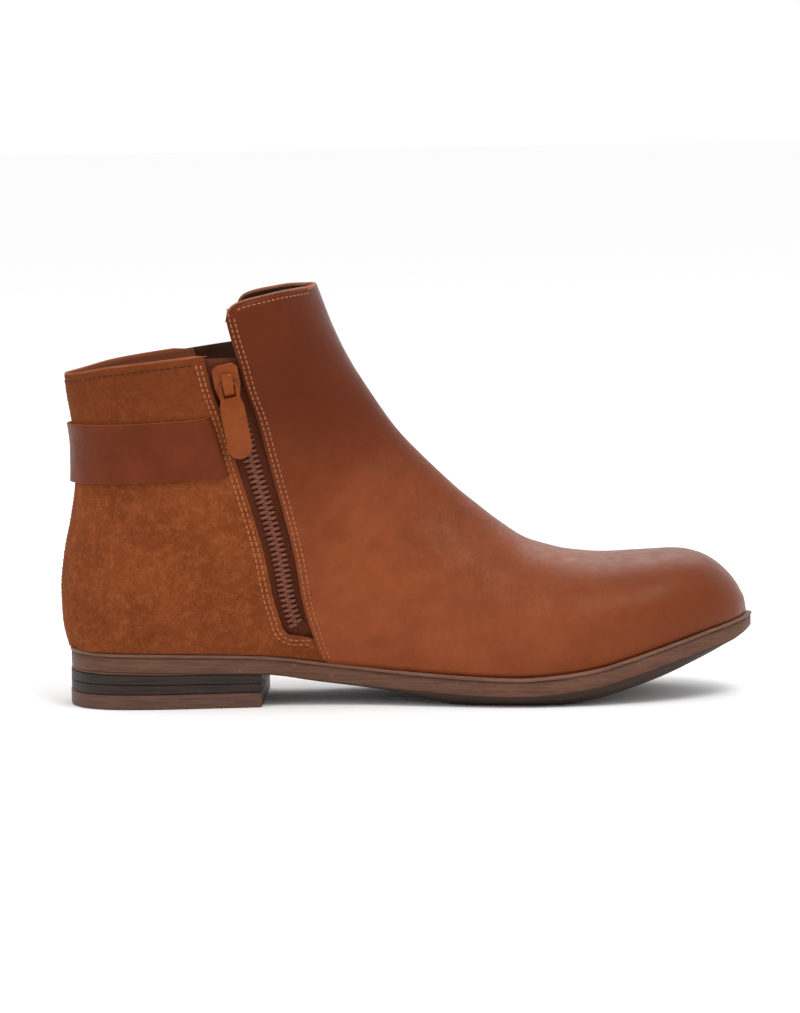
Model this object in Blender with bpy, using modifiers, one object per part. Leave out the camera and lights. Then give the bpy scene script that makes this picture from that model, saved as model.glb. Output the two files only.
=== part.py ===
"""Flat ankle boot, left shoe: the solids of its sole, upper, zip, straps and buckle.

Lengths are metres. X runs from the heel to the toe, Y to the outer side with the buckle, Z up.
The origin is on the floor under the middle of the heel. Places along the shoe are worked out from
the back of the sole, called "along", and the whole shoe is moved by half the heel at the end.
"""
import math

import bmesh
import bpy
import numpy as np
from mathutils import Vector

# Driving sizes
SOLE_LENGTH = 0.266
BALL_WIDTH = 0.0925
HEEL_HEIGHT = 0.0222    # floor to the top of the outsole at the back
SHAFT_RISE = 0.139      # top of the outsole at the back to the top of the front panel
HEEL_LENGTH = 0.076
WALL = 0.0018           # leather and lining together
PANEL_STEP = 0.0007     # the front panel stands this much over the quarters
GAP = 0.0003            # between two pieces that meet
EDGE_SPARE = 0.0015     # how far the upper is drawn past its lower edge before it is trimmed

# Sole
LIP_HEIGHT = 0.0013
LIP_DEPTH = 0.0004
SIDE_HEIGHT = 0.0076
BEVEL_WIDTH = 0.008
TOP_PIECE_HEIGHT = 0.0055
LIFT_INSET = 0.0002
INSOLE_THICKNESS = 0.003
INSOLE_CLEARANCE = 0.001

# Straps and buckle
STRAP_WIDTH = 0.023
STRAP_THICKNESS = 0.0016
BAR_RADIUS = 0.0011
FRAME_HEIGHT = 0.030
FRAME_CORNER = 0.0025
FRAME_LENGTH = 0.022     # between the middles of the two bars
KEEPER_HEIGHT = 0.0265
KEEPER_WIDTH = 0.004
KEEPER_BAND = 0.0009
PRONG_RADIUS = 0.0008
PRONG_BALL_RADIUS = 0.0016

# Zip
TAPE_MARGIN = 0.004
TAPE_THICKNESS = 0.0008
COIL_WIDTH = 0.0065
COIL_PITCH = 0.002
COIL_HEIGHT = 0.0016
SLIDER_LENGTH = 0.015
SLIDER_WIDTH = 0.011
SLIDER_THICKNESS = 0.0014
BRIDGE_WIDTH = 0.004
BRIDGE_THICKNESS = 0.001
PULL_LENGTH = 0.030
PULL_WIDTH = 0.0095
PULL_THICKNESS = 0.0012

# Sole outline: along and the two half widths, as shares of sole length and ball width
OUTLINE_COLUMNS = ("along", "medial", "lateral")
OUTLINE = (
    (0.000, 0.000, 0.000),
    (0.004, 0.092, 0.092),
    (0.015, 0.184, 0.184),
    (0.038, 0.270, 0.270),
    (0.075, 0.324, 0.324),
    (0.132, 0.341, 0.341),
    (0.226, 0.324, 0.335),
    (0.338, 0.303, 0.341),
    (0.432, 0.319, 0.368),
    (0.526, 0.389, 0.422),
    (0.620, 0.465, 0.476),
    (0.695, 0.492, 0.508),
    (0.771, 0.476, 0.497),
    (0.846, 0.427, 0.449),
    (0.902, 0.357, 0.373),
    (0.947, 0.265, 0.270),
    (0.977, 0.168, 0.157),
    (0.992, 0.092, 0.081),
    (1.000, 0.000, 0.000),
)

# Top and underside of the outsole over the floor, as shares of sole length and heel height, and how
# far the outsole stands out past the upper, in shares of the ball width
SOLE_COLUMNS = ("along", "seat", "underside", "ledge")
SOLE = (
    (0.000, 1.000, 0.622, 0.009),
    (0.120, 0.964, 0.595, 0.009),
    (0.286, 0.890, 0.563, 0.012),
    (0.387, 0.743, 0.383, 0.020),
    (0.500, 0.600, 0.180, 0.026),
    (0.583, 0.538, 0.000, 0.030),
    (0.658, 0.505, 0.000, 0.034),
    (0.714, 0.545, 0.000, 0.035),
    (0.771, 0.640, 0.090, 0.035),
    (0.827, 0.820, 0.270, 0.036),
    (0.883, 1.020, 0.495, 0.036),
    (0.940, 1.220, 0.788, 0.037),
    (1.000, 1.396, 1.149, 0.037),
)

# The front edge of the last seen from the side: along as a share of sole length, and the rise over
# the outsole as a share of the shaft rise
RIDGE_COLUMNS = ("along", "rise")
RIDGE = (
    (0.363, 1.077),
    (0.372, 1.031),
    (0.395, 0.917),
    (0.417, 0.833),
    (0.440, 0.765),
    (0.486, 0.645),
    (0.531, 0.560),
    (0.577, 0.481),
    (0.623, 0.413),
    (0.668, 0.355),
    (0.714, 0.319),
    (0.759, 0.293),
    (0.805, 0.270),
    (0.850, 0.248),
    (0.895, 0.224),
    (0.925, 0.194),
    (0.947, 0.159),
    (0.964, 0.121),
    (0.976, 0.086),
    (0.983, 0.058),
    (0.987, 0.038),
    (0.9895, 0.004),
)

# Sections across the last, fanned from the toe over the instep to the topline. Each is a plane
# through Y: foot_along and foot_rise give its lower or back end, ridge_along its end on the front
# edge. medial and lateral are its greatest half widths in shares of the ball width, widest is how
# far up the section they lie, and roundness is 2 for an ellipse above that.
SECTION_COLUMNS = ("foot_along", "foot_rise", "ridge_along", "medial", "lateral", "widest", "roundness")
SECTIONS = (
    (0.9895, 0.000, 0.9895, 0.005, 0.005, 0.30, 2.00),
    (0.9857, 0.000, 0.9865, 0.067, 0.061, 0.30, 2.10),
    (0.9774, 0.000, 0.9797, 0.141, 0.132, 0.30, 2.20),
    (0.9624, 0.000, 0.9662, 0.211, 0.211, 0.30, 2.20),
    (0.9417, 0.000, 0.9492, 0.272, 0.279, 0.30, 2.20),
    (0.9135, 0.000, 0.9267, 0.328, 0.342, 0.30, 2.20),
    (0.8759, 0.000, 0.8947, 0.383, 0.402, 0.30, 2.20),
    (0.8271, 0.000, 0.8534, 0.432, 0.454, 0.30, 2.20),
    (0.7707, 0.000, 0.8045, 0.465, 0.486, 0.30, 2.15),
    (0.7143, 0.000, 0.7594, 0.481, 0.497, 0.30, 2.10),
    (0.6579, 0.000, 0.7143, 0.474, 0.492, 0.30, 2.00),
    (0.5639, 0.000, 0.6466, 0.427, 0.454, 0.28, 1.90),
    (0.4511, 0.000, 0.5940, 0.368, 0.400, 0.28, 1.85),
    (0.3383, 0.000, 0.5564, 0.357, 0.378, 0.28, 1.90),
    (0.2256, 0.000, 0.5301, 0.373, 0.384, 0.28, 1.95),
    (0.1316, 0.000, 0.5132, 0.389, 0.389, 0.28, 2.00),
    (0.0564, 0.000, 0.5000, 0.392, 0.392, 0.29, 2.00),
    (0.0188, 0.000, 0.4936, 0.394, 0.394, 0.30, 2.00),
    (0.0030, 0.000, 0.4910, 0.395, 0.395, 0.31, 2.00),
    (-0.0098, 0.085, 0.481, 0.392, 0.392, 0.34, 2.00),
    (-0.0113, 0.171, 0.470, 0.384, 0.384, 0.37, 2.00),
    (-0.0056, 0.272, 0.455, 0.373, 0.373, 0.40, 2.00),
    (0.0056, 0.373, 0.440, 0.368, 0.368, 0.43, 2.00),
    (0.0132, 0.473, 0.425, 0.371, 0.371, 0.46, 2.00),
    (0.0143, 0.567, 0.410, 0.378, 0.378, 0.50, 2.00),
    (0.0094, 0.653, 0.395, 0.389, 0.389, 0.54, 2.00),
    (0.0030, 0.732, 0.383, 0.398, 0.398, 0.56, 2.00),
    (0.0008, 0.804, 0.376, 0.398, 0.398, 0.58, 2.00),
    (-0.0019, 0.891, 0.370, 0.376, 0.376, 0.60, 2.00),
    (-0.0038, 0.991, 0.363, 0.346, 0.346, 0.62, 2.00),
)
HEEL_BLEND = 0.13       # share of sole length over which the open sections close round the heel

# Where the front panel ends over the quarters, from the side: rise over the heel seat as a share of
# the shaft rise, then along on the zip side and on the buckle side, as shares of sole length
SEAM_COLUMNS = ("rise", "medial", "lateral")
SEAM = (
    (-0.080, 0.380, 0.353),
    (-0.038, 0.3755, 0.349),
    (0.042, 0.363, 0.331),
    (0.130, 0.350, 0.312),
    (0.260, 0.339, 0.286),
    (0.381, 0.324, 0.262),
    (0.527, 0.304, 0.232),
    (0.648, 0.288, 0.205),
    (0.721, 0.275, 0.190),
    (0.806, 0.264, 0.175),
    (0.867, 0.255, 0.165),
    (0.914, 0.249, 0.158),
    (1.060, 0.236, 0.140),
)

# Topline from the side, back to front, in the same shares
TOPLINE_COLUMNS = ("along", "rise")
TOPLINE = (
    (-0.100, 0.752),
    (0.002, 0.761),
    (0.068, 0.785),
    (0.154, 0.806),
    (0.199, 0.816),
    (0.244, 0.827),
    (0.2455, 0.870),
    (0.2480, 0.915),
    (0.2525, 0.940),
    (0.260, 0.957),
    (0.275, 0.969),
    (0.302, 0.980),
    (0.331, 0.990),
    (0.372, 0.9965),
    (0.460, 1.004),
)

# Width of the zip slot behind the seam on the medial side, in shares of sole length, by rise
SLOT_COLUMNS = ("rise", "width")
SLOT = (
    (0.078, 0.0395),
    (0.164, 0.0410),
    (0.381, 0.0440),
    (0.527, 0.0465),
    (0.806, 0.0475),
    (1.100, 0.0475),
)
SLOT_BOTTOM_RISE = 0.078
SLOT_OVERCUT = 0.0004

# Strap height over the heel seat at the back and its climb to the front, in shares of shaft rise
STRAP_RISE = 0.545
STRAP_CLIMB = 0.030
STRAP_CLIMB_ARC = 0.085

# Places of the strap fittings as arc lengths from the back seam to the buckle side
BILLET_TIP = 0.0677 * SOLE_LENGTH
KEEPER_PLACE = 0.1128 * SOLE_LENGTH
REAR_BAR = 0.1692 * SOLE_LENGTH
FRONT_BAR = REAR_BAR + FRAME_LENGTH
BILLET_END = 0.391 * SOLE_LENGTH
STRAP_TUCK = 0.0045     # from the zip slot back to the strap's end
FOLD_REACH = 0.005      # the strap is narrowed and slotted this far before the rear bar

SLIDER_RISE = 0.747
SLIDER_LEAN = math.radians(9)
PULL_TILT = math.radians(4)

MATERIALS = {
    "panel_leather": ((0.140, 0.052, 0.024), 0.45, 0.0),
    "outsole_edge": ((0.090, 0.050, 0.033), 0.55, 0.0),
    "heel_dark": ((0.028, 0.021, 0.018), 0.60, 0.0),
    "heel_brown": ((0.070, 0.035, 0.025), 0.60, 0.0),
    "footbed": ((0.110, 0.050, 0.026), 0.70, 0.0),
    "zip_fabric": ((0.070, 0.026, 0.015), 0.80, 0.0),
    "zip_coil": ((0.055, 0.022, 0.014), 0.45, 0.0),
    "slider_paint": ((0.210, 0.045, 0.014), 0.35, 0.0),
    "strap_leather": ((0.100, 0.034, 0.015), 0.50, 0.0),
    "antique_brass": ((0.380, 0.260, 0.110), 0.35, 1.0),
}


def smooth_curve(table, column):
    """A monotone cubic through one column of a table, as a function of its first column."""
    rows = np.asarray(table, float)
    xs, ys = rows[:, 0], rows[:, column]
    widths = np.diff(xs)
    slopes = np.diff(ys) / widths
    tangents = np.zeros_like(ys)
    tangents[0], tangents[-1] = slopes[0], slopes[-1]
    for i in range(1, len(xs) - 1):
        if slopes[i - 1] * slopes[i] > 0:
            near, far = 2 * widths[i] + widths[i - 1], widths[i] + 2 * widths[i - 1]
            tangents[i] = (near + far) / (near / slopes[i - 1] + far / slopes[i])

    def value(x):
        x = np.clip(x, xs[0], xs[-1])
        i = np.clip(np.searchsorted(xs, x) - 1, 0, len(xs) - 2)
        t = (x - xs[i]) / widths[i]
        return ((2 * t**3 - 3 * t**2 + 1) * ys[i] + (t**3 - 2 * t**2 + t) * widths[i] * tangents[i]
                + (3 * t**2 - 2 * t**3) * ys[i + 1] + (t**3 - t**2) * widths[i] * tangents[i + 1])

    return value


MEDIAL_SHARE = smooth_curve(OUTLINE, OUTLINE_COLUMNS.index("medial"))
LATERAL_SHARE = smooth_curve(OUTLINE, OUTLINE_COLUMNS.index("lateral"))
SEAT_SHARE = smooth_curve(SOLE, SOLE_COLUMNS.index("seat"))
UNDERSIDE_SHARE = smooth_curve(SOLE, SOLE_COLUMNS.index("underside"))
LEDGE_SHARE = smooth_curve(SOLE, SOLE_COLUMNS.index("ledge"))
RIDGE_SHARE = smooth_curve(RIDGE, RIDGE_COLUMNS.index("rise"))
SEAM_SHARES = (smooth_curve(SEAM, SEAM_COLUMNS.index("medial")),
               smooth_curve(SEAM, SEAM_COLUMNS.index("lateral")))
SLOT_SHARE = smooth_curve(SLOT, SLOT_COLUMNS.index("width"))


def seat_height(along):
    return HEEL_HEIGHT * SEAT_SHARE(along / SOLE_LENGTH)


def underside_height(along):
    return HEEL_HEIGHT * UNDERSIDE_SHARE(along / SOLE_LENGTH)


def ledge_width(along):
    return BALL_WIDTH * LEDGE_SHARE(along / SOLE_LENGTH)


def rise_to_height(rise):
    return HEEL_HEIGHT + rise * SHAFT_RISE


def seam_along(side, height):
    """Where the front panel's edge is at this height; side 0 is medial and 1 lateral."""
    return SOLE_LENGTH * SEAM_SHARES[side]((height - HEEL_HEIGHT) / SHAFT_RISE)


def slot_width(height):
    return SOLE_LENGTH * SLOT_SHARE((height - HEEL_HEIGHT) / SHAFT_RISE)


def slot_middle(height):
    """Along at the middle of the zip slot."""
    return seam_along(0, height) - slot_width(height) / 2


def sole_stations(end=SOLE_LENGTH, count=30):
    """Places along the sole, closer together at both round ends, with the flat of the tread."""
    turns = np.linspace(0, math.pi, count)
    even = SOLE_LENGTH * (1 - np.cos(turns)) / 2
    exact = SOLE_LENGTH * np.array([SOLE[5][0], SOLE[7][0]])
    kept = [a for a in even if np.min(np.abs(a - exact)) > 0.002 and a < end - 0.001]
    last = [end] if end < SOLE_LENGTH else [SOLE_LENGTH]
    return np.array(sorted(kept + [a for a in exact if a < end] + last))


def outline_loop(stations, inset):
    """Both sides of the sole outline moved in by inset, as two rows of (along, y)."""
    shares = stations / SOLE_LENGTH
    lateral = np.column_stack([stations, BALL_WIDTH * LATERAL_SHARE(shares)])
    medial = np.column_stack([stations, -BALL_WIDTH * MEDIAL_SHARE(shares)])
    moved = []
    for side, other in ((lateral, medial), (medial, lateral)):
        before = np.vstack([other[1] if side[0, 1] == other[0, 1] else side[0], side[:-1]])
        closes = side[-1, 1] == other[-1, 1]
        after = np.vstack([side[1:], other[-2] if closes else side[-1]])
        tangent = after - before
        tangent /= np.linalg.norm(tangent, axis=1)[:, None]
        inward = np.column_stack([tangent[:, 1], -tangent[:, 0]])
        if side is medial:
            inward = -inward
        moved.append(side + inward * np.broadcast_to(inset, stations.shape)[:, None])
    return moved


def feather_widths():
    """The upper's half widths where it meets the sole, as functions of along."""
    stations = sole_stations(count=60)
    loops = outline_loop(stations, ledge_width(stations))
    return [lambda along, loop=loop: np.interp(along, loop[:, 0], np.abs(loop[:, 1]), 0, 0)
            for loop in (loops[1], loops[0])]


class Last:
    """The outer surface of the upper, as many close sections between those of the table."""

    STEPS = 14

    def __init__(self):
        count = len(SECTIONS)
        table = [(i,) + row for i, row in enumerate(SECTIONS)]
        place = np.linspace(0, count - 1, (count - 1) * self.STEPS + 1)
        foot, foot_rise, ridge, medial, lateral, widest, roundness = (
            smooth_curve(table, 1 + column)(place) for column in range(len(SECTION_COLUMNS)))
        self.foot = np.column_stack([foot * SOLE_LENGTH,
                                     seat_height(foot * SOLE_LENGTH) - EDGE_SPARE
                                     + foot_rise * SHAFT_RISE])
        ridge_along = ridge * SOLE_LENGTH
        self.ridge = np.column_stack([ridge_along, seat_height(ridge_along) + GAP
                                      + RIDGE_SHARE(ridge) * SHAFT_RISE])
        self.greatest = np.array([medial, lateral]) * BALL_WIDTH
        self.widest = widest
        self.roundness = roundness
        is_open = (foot_rise <= 0) & (foot > SECTIONS[18][0])
        self.feather = np.array([np.where(is_open, width(foot * SOLE_LENGTH), 0)
                                 for width in feather_widths()])
        self.greatest = np.maximum(self.greatest, self.feather)
        blend = np.clip(foot / HEEL_BLEND, 0, 1)
        self.fill = 0.5 + 0.5 * blend * blend * (3 - 2 * blend)

    def section(self, row, side, shares):
        """Points (along, y, z) of one section at these shares of the way up it."""
        low = self.feather[side, row]
        high = self.greatest[side, row]
        widest = self.widest[row]
        below = np.clip(shares / widest, 0, 1)
        above = np.clip((shares - widest) / (1 - widest), 0, 1)
        lower = low + (high - low) * (1 - (1 - below) ** 2) ** self.fill[row]
        upper = high * (1 - above ** self.roundness[row]) ** (1 / self.roundness[row])
        width = np.where(shares < widest, lower, upper)
        run = self.foot[row] + shares[:, None] * (self.ridge[row] - self.foot[row])
        return np.column_stack([run[:, 0], width if side else -width, run[:, 1]])

    def point(self, along, height, side):
        """The surface point that is seen from the side at (along, height)."""
        away = np.array([along, height]) - self.foot
        reach = self.ridge - self.foot
        turn = reach[:, 0] * away[:, 1] - reach[:, 1] * away[:, 0]
        change = np.nonzero((turn[:-1] > 0) & (turn[1:] <= 0))[0]
        row = int(change[0]) if len(change) else len(turn) - 2
        part = turn[row] / (turn[row] - turn[row + 1]) if len(change) else 1.0
        ends = []
        for each in (row, row + 1):
            share = np.dot(away[each], reach[each]) / np.dot(reach[each], reach[each])
            ends.append(self.section(each, side, np.array([np.clip(share, 0, 1)]))[0, 1])
        return np.array([along, ends[0] + part * (ends[1] - ends[0]), height])

    def frame(self, along, height, side, reach=0.0015):
        """Surface point, forward tangent, upward tangent and outward normal there."""
        middle = self.point(along, height, side)
        forward = self.point(along + reach, height, side) - self.point(along - reach, height, side)
        upward = self.point(along, height + reach, side) - self.point(along, height - reach, side)
        forward /= np.linalg.norm(forward)
        upward /= np.linalg.norm(upward)
        outward = np.cross(upward, forward) if side else np.cross(forward, upward)
        return middle, forward, upward, outward / np.linalg.norm(outward)

    def back_along(self, height):
        """The back edge of the boot at this height."""
        closed = self.foot[:, 1] > self.foot[:, 1].min()
        start = np.nonzero(self.feather.sum(axis=0) > 0)[0][-1] + 1
        rows = self.foot[start:][closed[start:]]
        return np.interp(height, rows[:, 1], rows[:, 0])

    def contour(self, height, reach=0.45 * SOLE_LENGTH):
        """Level outline from the medial side round the back to the lateral, with arc lengths."""
        start = self.back_along(height)
        turns = np.linspace(0, 1, 70)[1:] ** 1.8
        places = start + reach * turns
        sides = [np.array([self.point(a, height, side)[:2] for a in places]) for side in (0, 1)]
        line = np.vstack([sides[0][::-1], [(start, 0.0)], sides[1]])
        arcs = np.concatenate([[0], np.cumsum(np.linalg.norm(np.diff(line, axis=0), axis=1))])
        return arcs - arcs[len(sides[0])], line


class Wrap:
    """Places on the upper by arc length from the back seam, height and distance outward."""

    def __init__(self, last, low, high, count=9):
        self.heights = np.linspace(low, high, count)
        self.arcs = SOLE_LENGTH * np.linspace(-0.376, 0.444, 437)
        lines = [last.contour(height) for height in self.heights]
        grid = [np.column_stack([np.interp(self.arcs, arcs, line[:, 0]),
                                 np.interp(self.arcs, arcs, line[:, 1]),
                                 np.full(len(self.arcs), height)])
                for height, (arcs, line) in zip(self.heights, lines)]
        self.grid = np.array(grid)
        across = np.gradient(self.grid, axis=1)
        up = np.gradient(self.grid, axis=0)
        normal = np.cross(across, up)
        self.normal = -normal / np.linalg.norm(normal, axis=2)[:, :, None]

    def lookup(self, values, arc, height):
        i = (arc - self.arcs[0]) / (self.arcs[1] - self.arcs[0])
        j = (height - self.heights[0]) / (self.heights[1] - self.heights[0])
        i = min(max(i, 0), len(self.arcs) - 1.001)
        j = min(max(j, 0), len(self.heights) - 1.001)
        a, b = int(i), int(j)
        s, t = i - a, j - b
        return ((1 - t) * ((1 - s) * values[b, a] + s * values[b, a + 1])
                + t * ((1 - s) * values[b + 1, a] + s * values[b + 1, a + 1]))

    def zip_side_arc(self, along, height):
        """Arc length of the place on the zip side at this along."""
        row = self.grid[np.argmin(np.abs(self.heights - height))]
        near = (self.arcs < 0) & (row[:, 0] < np.max(row[:, 0]))
        order = np.argsort(row[near, 0])
        return float(np.interp(along, row[near, 0][order], self.arcs[near][order]))

    def point(self, arc, height, outward):
        normal = self.lookup(self.normal, arc, height)
        return self.lookup(self.grid, arc, height) + outward * normal / np.linalg.norm(normal)


def strap_height(arc):
    """Height of the strap's middle at this arc length from the back seam."""
    return rise_to_height(STRAP_RISE + STRAP_CLIMB * (arc / STRAP_CLIMB_ARC) ** 2)


def clear_scene():
    for item in list(bpy.data.objects):
        bpy.data.objects.remove(item, do_unlink=True)


def make_collection(name):
    collection = bpy.data.collections.new(name)
    bpy.context.scene.collection.children.link(collection)
    return collection


def make_materials():
    made = {}
    for name, (color, roughness, metallic) in MATERIALS.items():
        material = bpy.data.materials.new(name)
        material.use_nodes = True
        shader = material.node_tree.nodes["Principled BSDF"]
        shader.inputs["Base Color"].default_value = (*color, 1.0)
        shader.inputs["Roughness"].default_value = roughness
        shader.inputs["Metallic"].default_value = metallic
        made[name] = material
    return made


def mesh_object(name, vertices, faces, collection, material=None):
    """A mesh object with coinciding corners merged and all faces turned outward."""
    mesh = bpy.data.meshes.new(name)
    mesh.from_pydata([tuple(v) for v in vertices], [], faces)
    work = bmesh.new()
    work.from_mesh(mesh)
    bmesh.ops.remove_doubles(work, verts=work.verts, dist=0.00002)
    bmesh.ops.dissolve_degenerate(work, edges=work.edges, dist=0.00001)
    bmesh.ops.recalc_face_normals(work, faces=work.faces)
    work.to_mesh(mesh)
    work.free()
    item = bpy.data.objects.new(name, mesh)
    collection.objects.link(item)
    if material:
        mesh.materials.append(material)
    for polygon in mesh.polygons:
        polygon.use_smooth = True
    return item


def grid_faces(rows, columns, close_rows=False):
    """Quads of a grid of points that is stored row after row."""
    faces = []
    for i in range(rows if close_rows else rows - 1):
        below, above = i * columns, (i + 1) % rows * columns
        for j in range(columns - 1):
            faces.append((below + j, below + j + 1, above + j + 1, above + j))
    return faces


def ladder_solid(name, rings, collection, material):
    """A solid between rings that each hold a lateral and a medial row of equal length."""
    count = len(rings[0]) // 2
    loop = list(range(count)) + list(range(2 * count - 1, count - 1, -1))
    faces = []
    for level in range(len(rings) - 1):
        low, high = level * 2 * count, (level + 1) * 2 * count
        for a, b in zip(loop, loop[1:] + loop[:1]):
            faces.append((low + a, low + b, high + b, high + a))
    for base in (0, (len(rings) - 1) * 2 * count):
        for i in range(count - 1):
            faces.append((base + i, base + i + 1, base + count + i + 1, base + count + i))
    return mesh_object(name, np.vstack(rings), faces, collection, material)


def add_solidify(item, thickness, offset):
    solidify = item.modifiers.new("wall", "SOLIDIFY")
    solidify.thickness = thickness
    solidify.offset = offset


def add_cut(item, cutter, operation="DIFFERENCE"):
    boolean = item.modifiers.new("cut", "BOOLEAN")
    boolean.operation = operation
    boolean.solver = "EXACT"
    boolean.object = cutter
    cutter.hide_render = True
    cutter.display_type = "WIRE"


def ring_at(stations, inset, height):
    """One ring of a ladder solid: the inset outline at a height that may vary along it."""
    rows = []
    for side in outline_loop(stations, inset):
        rows.append(np.column_stack([side, height(side[:, 0])]))
    return np.vstack(rows)


def build_outsole(collection, material):
    stations = sole_stations()
    lip_floor = lambda along: seat_height(along) - LIP_HEIGHT
    side_floor = lambda along: np.maximum(seat_height(along) - SIDE_HEIGHT, underside_height(along))
    past_heel = np.clip((stations - HEEL_LENGTH) / HEEL_LENGTH, 0, 1)
    bevel = 0.0005 + BEVEL_WIDTH * past_heel * np.clip((SOLE_LENGTH - stations) / 0.020, 0.35, 1)
    rings = [
        ring_at(stations, bevel, underside_height),
        ring_at(stations, LIP_DEPTH, side_floor),
        ring_at(stations, LIP_DEPTH, lip_floor),
        ring_at(stations, 0, lip_floor),
        ring_at(stations, 0, seat_height),
    ]
    return ladder_solid("outsole", rings, collection, material)


def build_heel(collection, dark, brown):
    """Two dark lifts and the brown top piece, from the outsole down to the floor."""
    stations = sole_stations(end=HEEL_LENGTH)
    top_piece = lambda along: np.full(np.shape(along), TOP_PIECE_HEIGHT)
    floor = lambda along: np.zeros(np.shape(along))
    stack = lambda share: lambda along: (
        TOP_PIECE_HEIGHT + share * (underside_height(along) - GAP - TOP_PIECE_HEIGHT))
    over = lambda level: lambda along: level(along) + GAP
    pieces = (
        ("heel_lift_upper", over(stack(0.5)), stack(1.0), LIFT_INSET, dark),
        ("heel_lift_lower", over(top_piece), stack(0.5), LIFT_INSET, dark),
        ("heel_top_piece", floor, top_piece, 0, brown),
    )
    for name, bottom, top, inset, material in pieces:
        rings = [ring_at(stations, inset, bottom), ring_at(stations, inset, top)]
        ladder_solid(name, rings, collection, material)


def build_insole(collection, material):
    stations = sole_stations(count=24)
    inset = ledge_width(stations) + WALL + INSOLE_CLEARANCE
    bottom = lambda along: seat_height(along) + GAP
    top = lambda along: seat_height(along) + GAP + INSOLE_THICKNESS
    rings = [ring_at(stations, inset, bottom), ring_at(stations, inset, top)]
    return ladder_solid("insole", rings, collection, material)


def side_prism(name, outline, near, far, collection):
    """A cutter that runs along Y over an outline of (along, height) points."""
    count = len(outline)
    vertices = [(a, near, h) for a, h in outline] + [(a, far, h) for a, h in outline]
    faces = [tuple(range(count)), tuple(range(2 * count - 1, count - 1, -1))]
    faces += [(i, (i + 1) % count, count + (i + 1) % count, count + i) for i in range(count)]
    return mesh_object(name, vertices, faces, collection)


def slot_outline():
    """The zip slot seen from the side, with a round foot."""
    top = 1.08
    rises = np.linspace(top, SLOT_BOTTOM_RISE, 14)
    front = [(seam_along(0, rise_to_height(r)) + SLOT_OVERCUT, rise_to_height(r)) for r in rises]
    rear = [(seam_along(0, rise_to_height(r)) - SOLE_LENGTH * SLOT_SHARE(r), rise_to_height(r))
            for r in rises]
    middle = (front[-1][0] + rear[-1][0]) / 2
    radius = (front[-1][0] - rear[-1][0]) / 2
    foot = [(middle + radius * math.cos(turn), front[-1][1] - radius * math.sin(turn))
            for turn in np.linspace(0, math.pi, 9)[1:-1]]
    return front + foot + rear[::-1]


def lower_edge_outline():
    """All that is under the outsole's top, and the gap over it."""
    places = np.linspace(0, SOLE_LENGTH, 40)
    edge = [(along, seat_height(along) + GAP) for along in places]
    past = 0.08 * SOLE_LENGTH
    return ([(-past, edge[0][1])] + edge + [(SOLE_LENGTH + past, edge[-1][1])]
            + [(SOLE_LENGTH + past, -past), (-past, -past)])


def topline_outline():
    line = [(along * SOLE_LENGTH, rise_to_height(rise)) for along, rise in TOPLINE]
    over = rise_to_height(1.4)
    return line + [(line[-1][0], over), (line[0][0], over)]


def upper_grid(last, quarter_columns=7, panel_columns=9):
    """Points of the upper from the medial edge over the ridge to the lateral edge, row by row.

    Each side has a column on both sides of the panel's edge, and the outer one stands over the
    quarter by the panel step.
    """
    rows = list(range(0, len(last.foot), last.STEPS // 2))
    fine = (1 - np.cos(np.linspace(0, math.pi, 241))) / 2
    points, raised = [], []
    for row in rows:
        halves = []
        for side in (0, 1):
            line = last.section(row, side, fine)
            arcs = np.concatenate([[0], np.cumsum(np.linalg.norm(np.diff(line, axis=0), axis=1))])
            behind = line[:, 0] < seam_along(side, line[:, 2])
            seam = arcs[np.nonzero(behind)[0][-1]] if behind[0] else 0.0
            quarter = np.linspace(0, seam, quarter_columns + 1)
            panel = np.linspace(seam, arcs[-1], panel_columns + 1)
            places = np.concatenate([quarter, panel])
            half = np.column_stack([np.interp(places, arcs, line[:, axis]) for axis in range(3)])
            step = np.concatenate([np.zeros(quarter_columns + 1), np.ones(panel_columns + 1)])
            halves.append((half, step if seam > 0 else np.ones(len(step))))
        points.append(np.vstack([halves[0][0], halves[1][0][::-1][1:]]))
        raised.append(np.concatenate([halves[0][1], halves[1][1][::-1][1:]]))
    return np.array(points), np.array(raised)


def surface_normals(last, points):
    """Outward normals of the grid, steady where columns run together."""
    middle = np.array([points[:, :, 0].mean(), 0, points[:, :, 2].mean()])
    normals = np.zeros_like(points)
    for i in range(points.shape[0]):
        for j in range(points.shape[1]):
            a, b = max(i - 1, 0), min(i + 1, points.shape[0] - 1)
            c, d = j, j
            while c > 0 and np.linalg.norm(points[i, j] - points[i, c]) < 0.001:
                c -= 1
            while d < points.shape[1] - 1 and np.linalg.norm(points[i, j] - points[i, d]) < 0.001:
                d += 1
            normal = np.cross(points[i, d] - points[i, c], points[b, j] - points[a, j])
            length = np.linalg.norm(normal)
            if length > 1e-12:
                normals[i, j] = normal / length
    flip = np.sign(np.sum(normals * (points - middle), axis=2))
    majority = 1 if flip.sum() > 0 else -1
    return normals * majority


def build_upper(last, collection, cutters, material):
    points, raised = upper_grid(last)
    normals = surface_normals(last, points)
    outer = points + normals * (PANEL_STEP * raised)[:, :, None]
    outer[0] = outer[0].mean(axis=0)
    rows, columns = outer.shape[:2]
    upper = mesh_object("upper", outer.reshape(-1, 3), grid_faces(rows, columns), collection, material)
    add_solidify(upper, WALL, -1)
    slot = side_prism("zip_slot_cutter", slot_outline(), -BALL_WIDTH, -0.09 * BALL_WIDTH, cutters)
    topline = side_prism("topline_cutter", topline_outline(), -BALL_WIDTH, BALL_WIDTH, cutters)
    lower_edge = side_prism("lower_edge_cutter", lower_edge_outline(), -BALL_WIDTH, BALL_WIDTH, cutters)
    for cutter in (lower_edge, slot, topline):
        add_cut(upper, cutter)
    return upper


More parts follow.
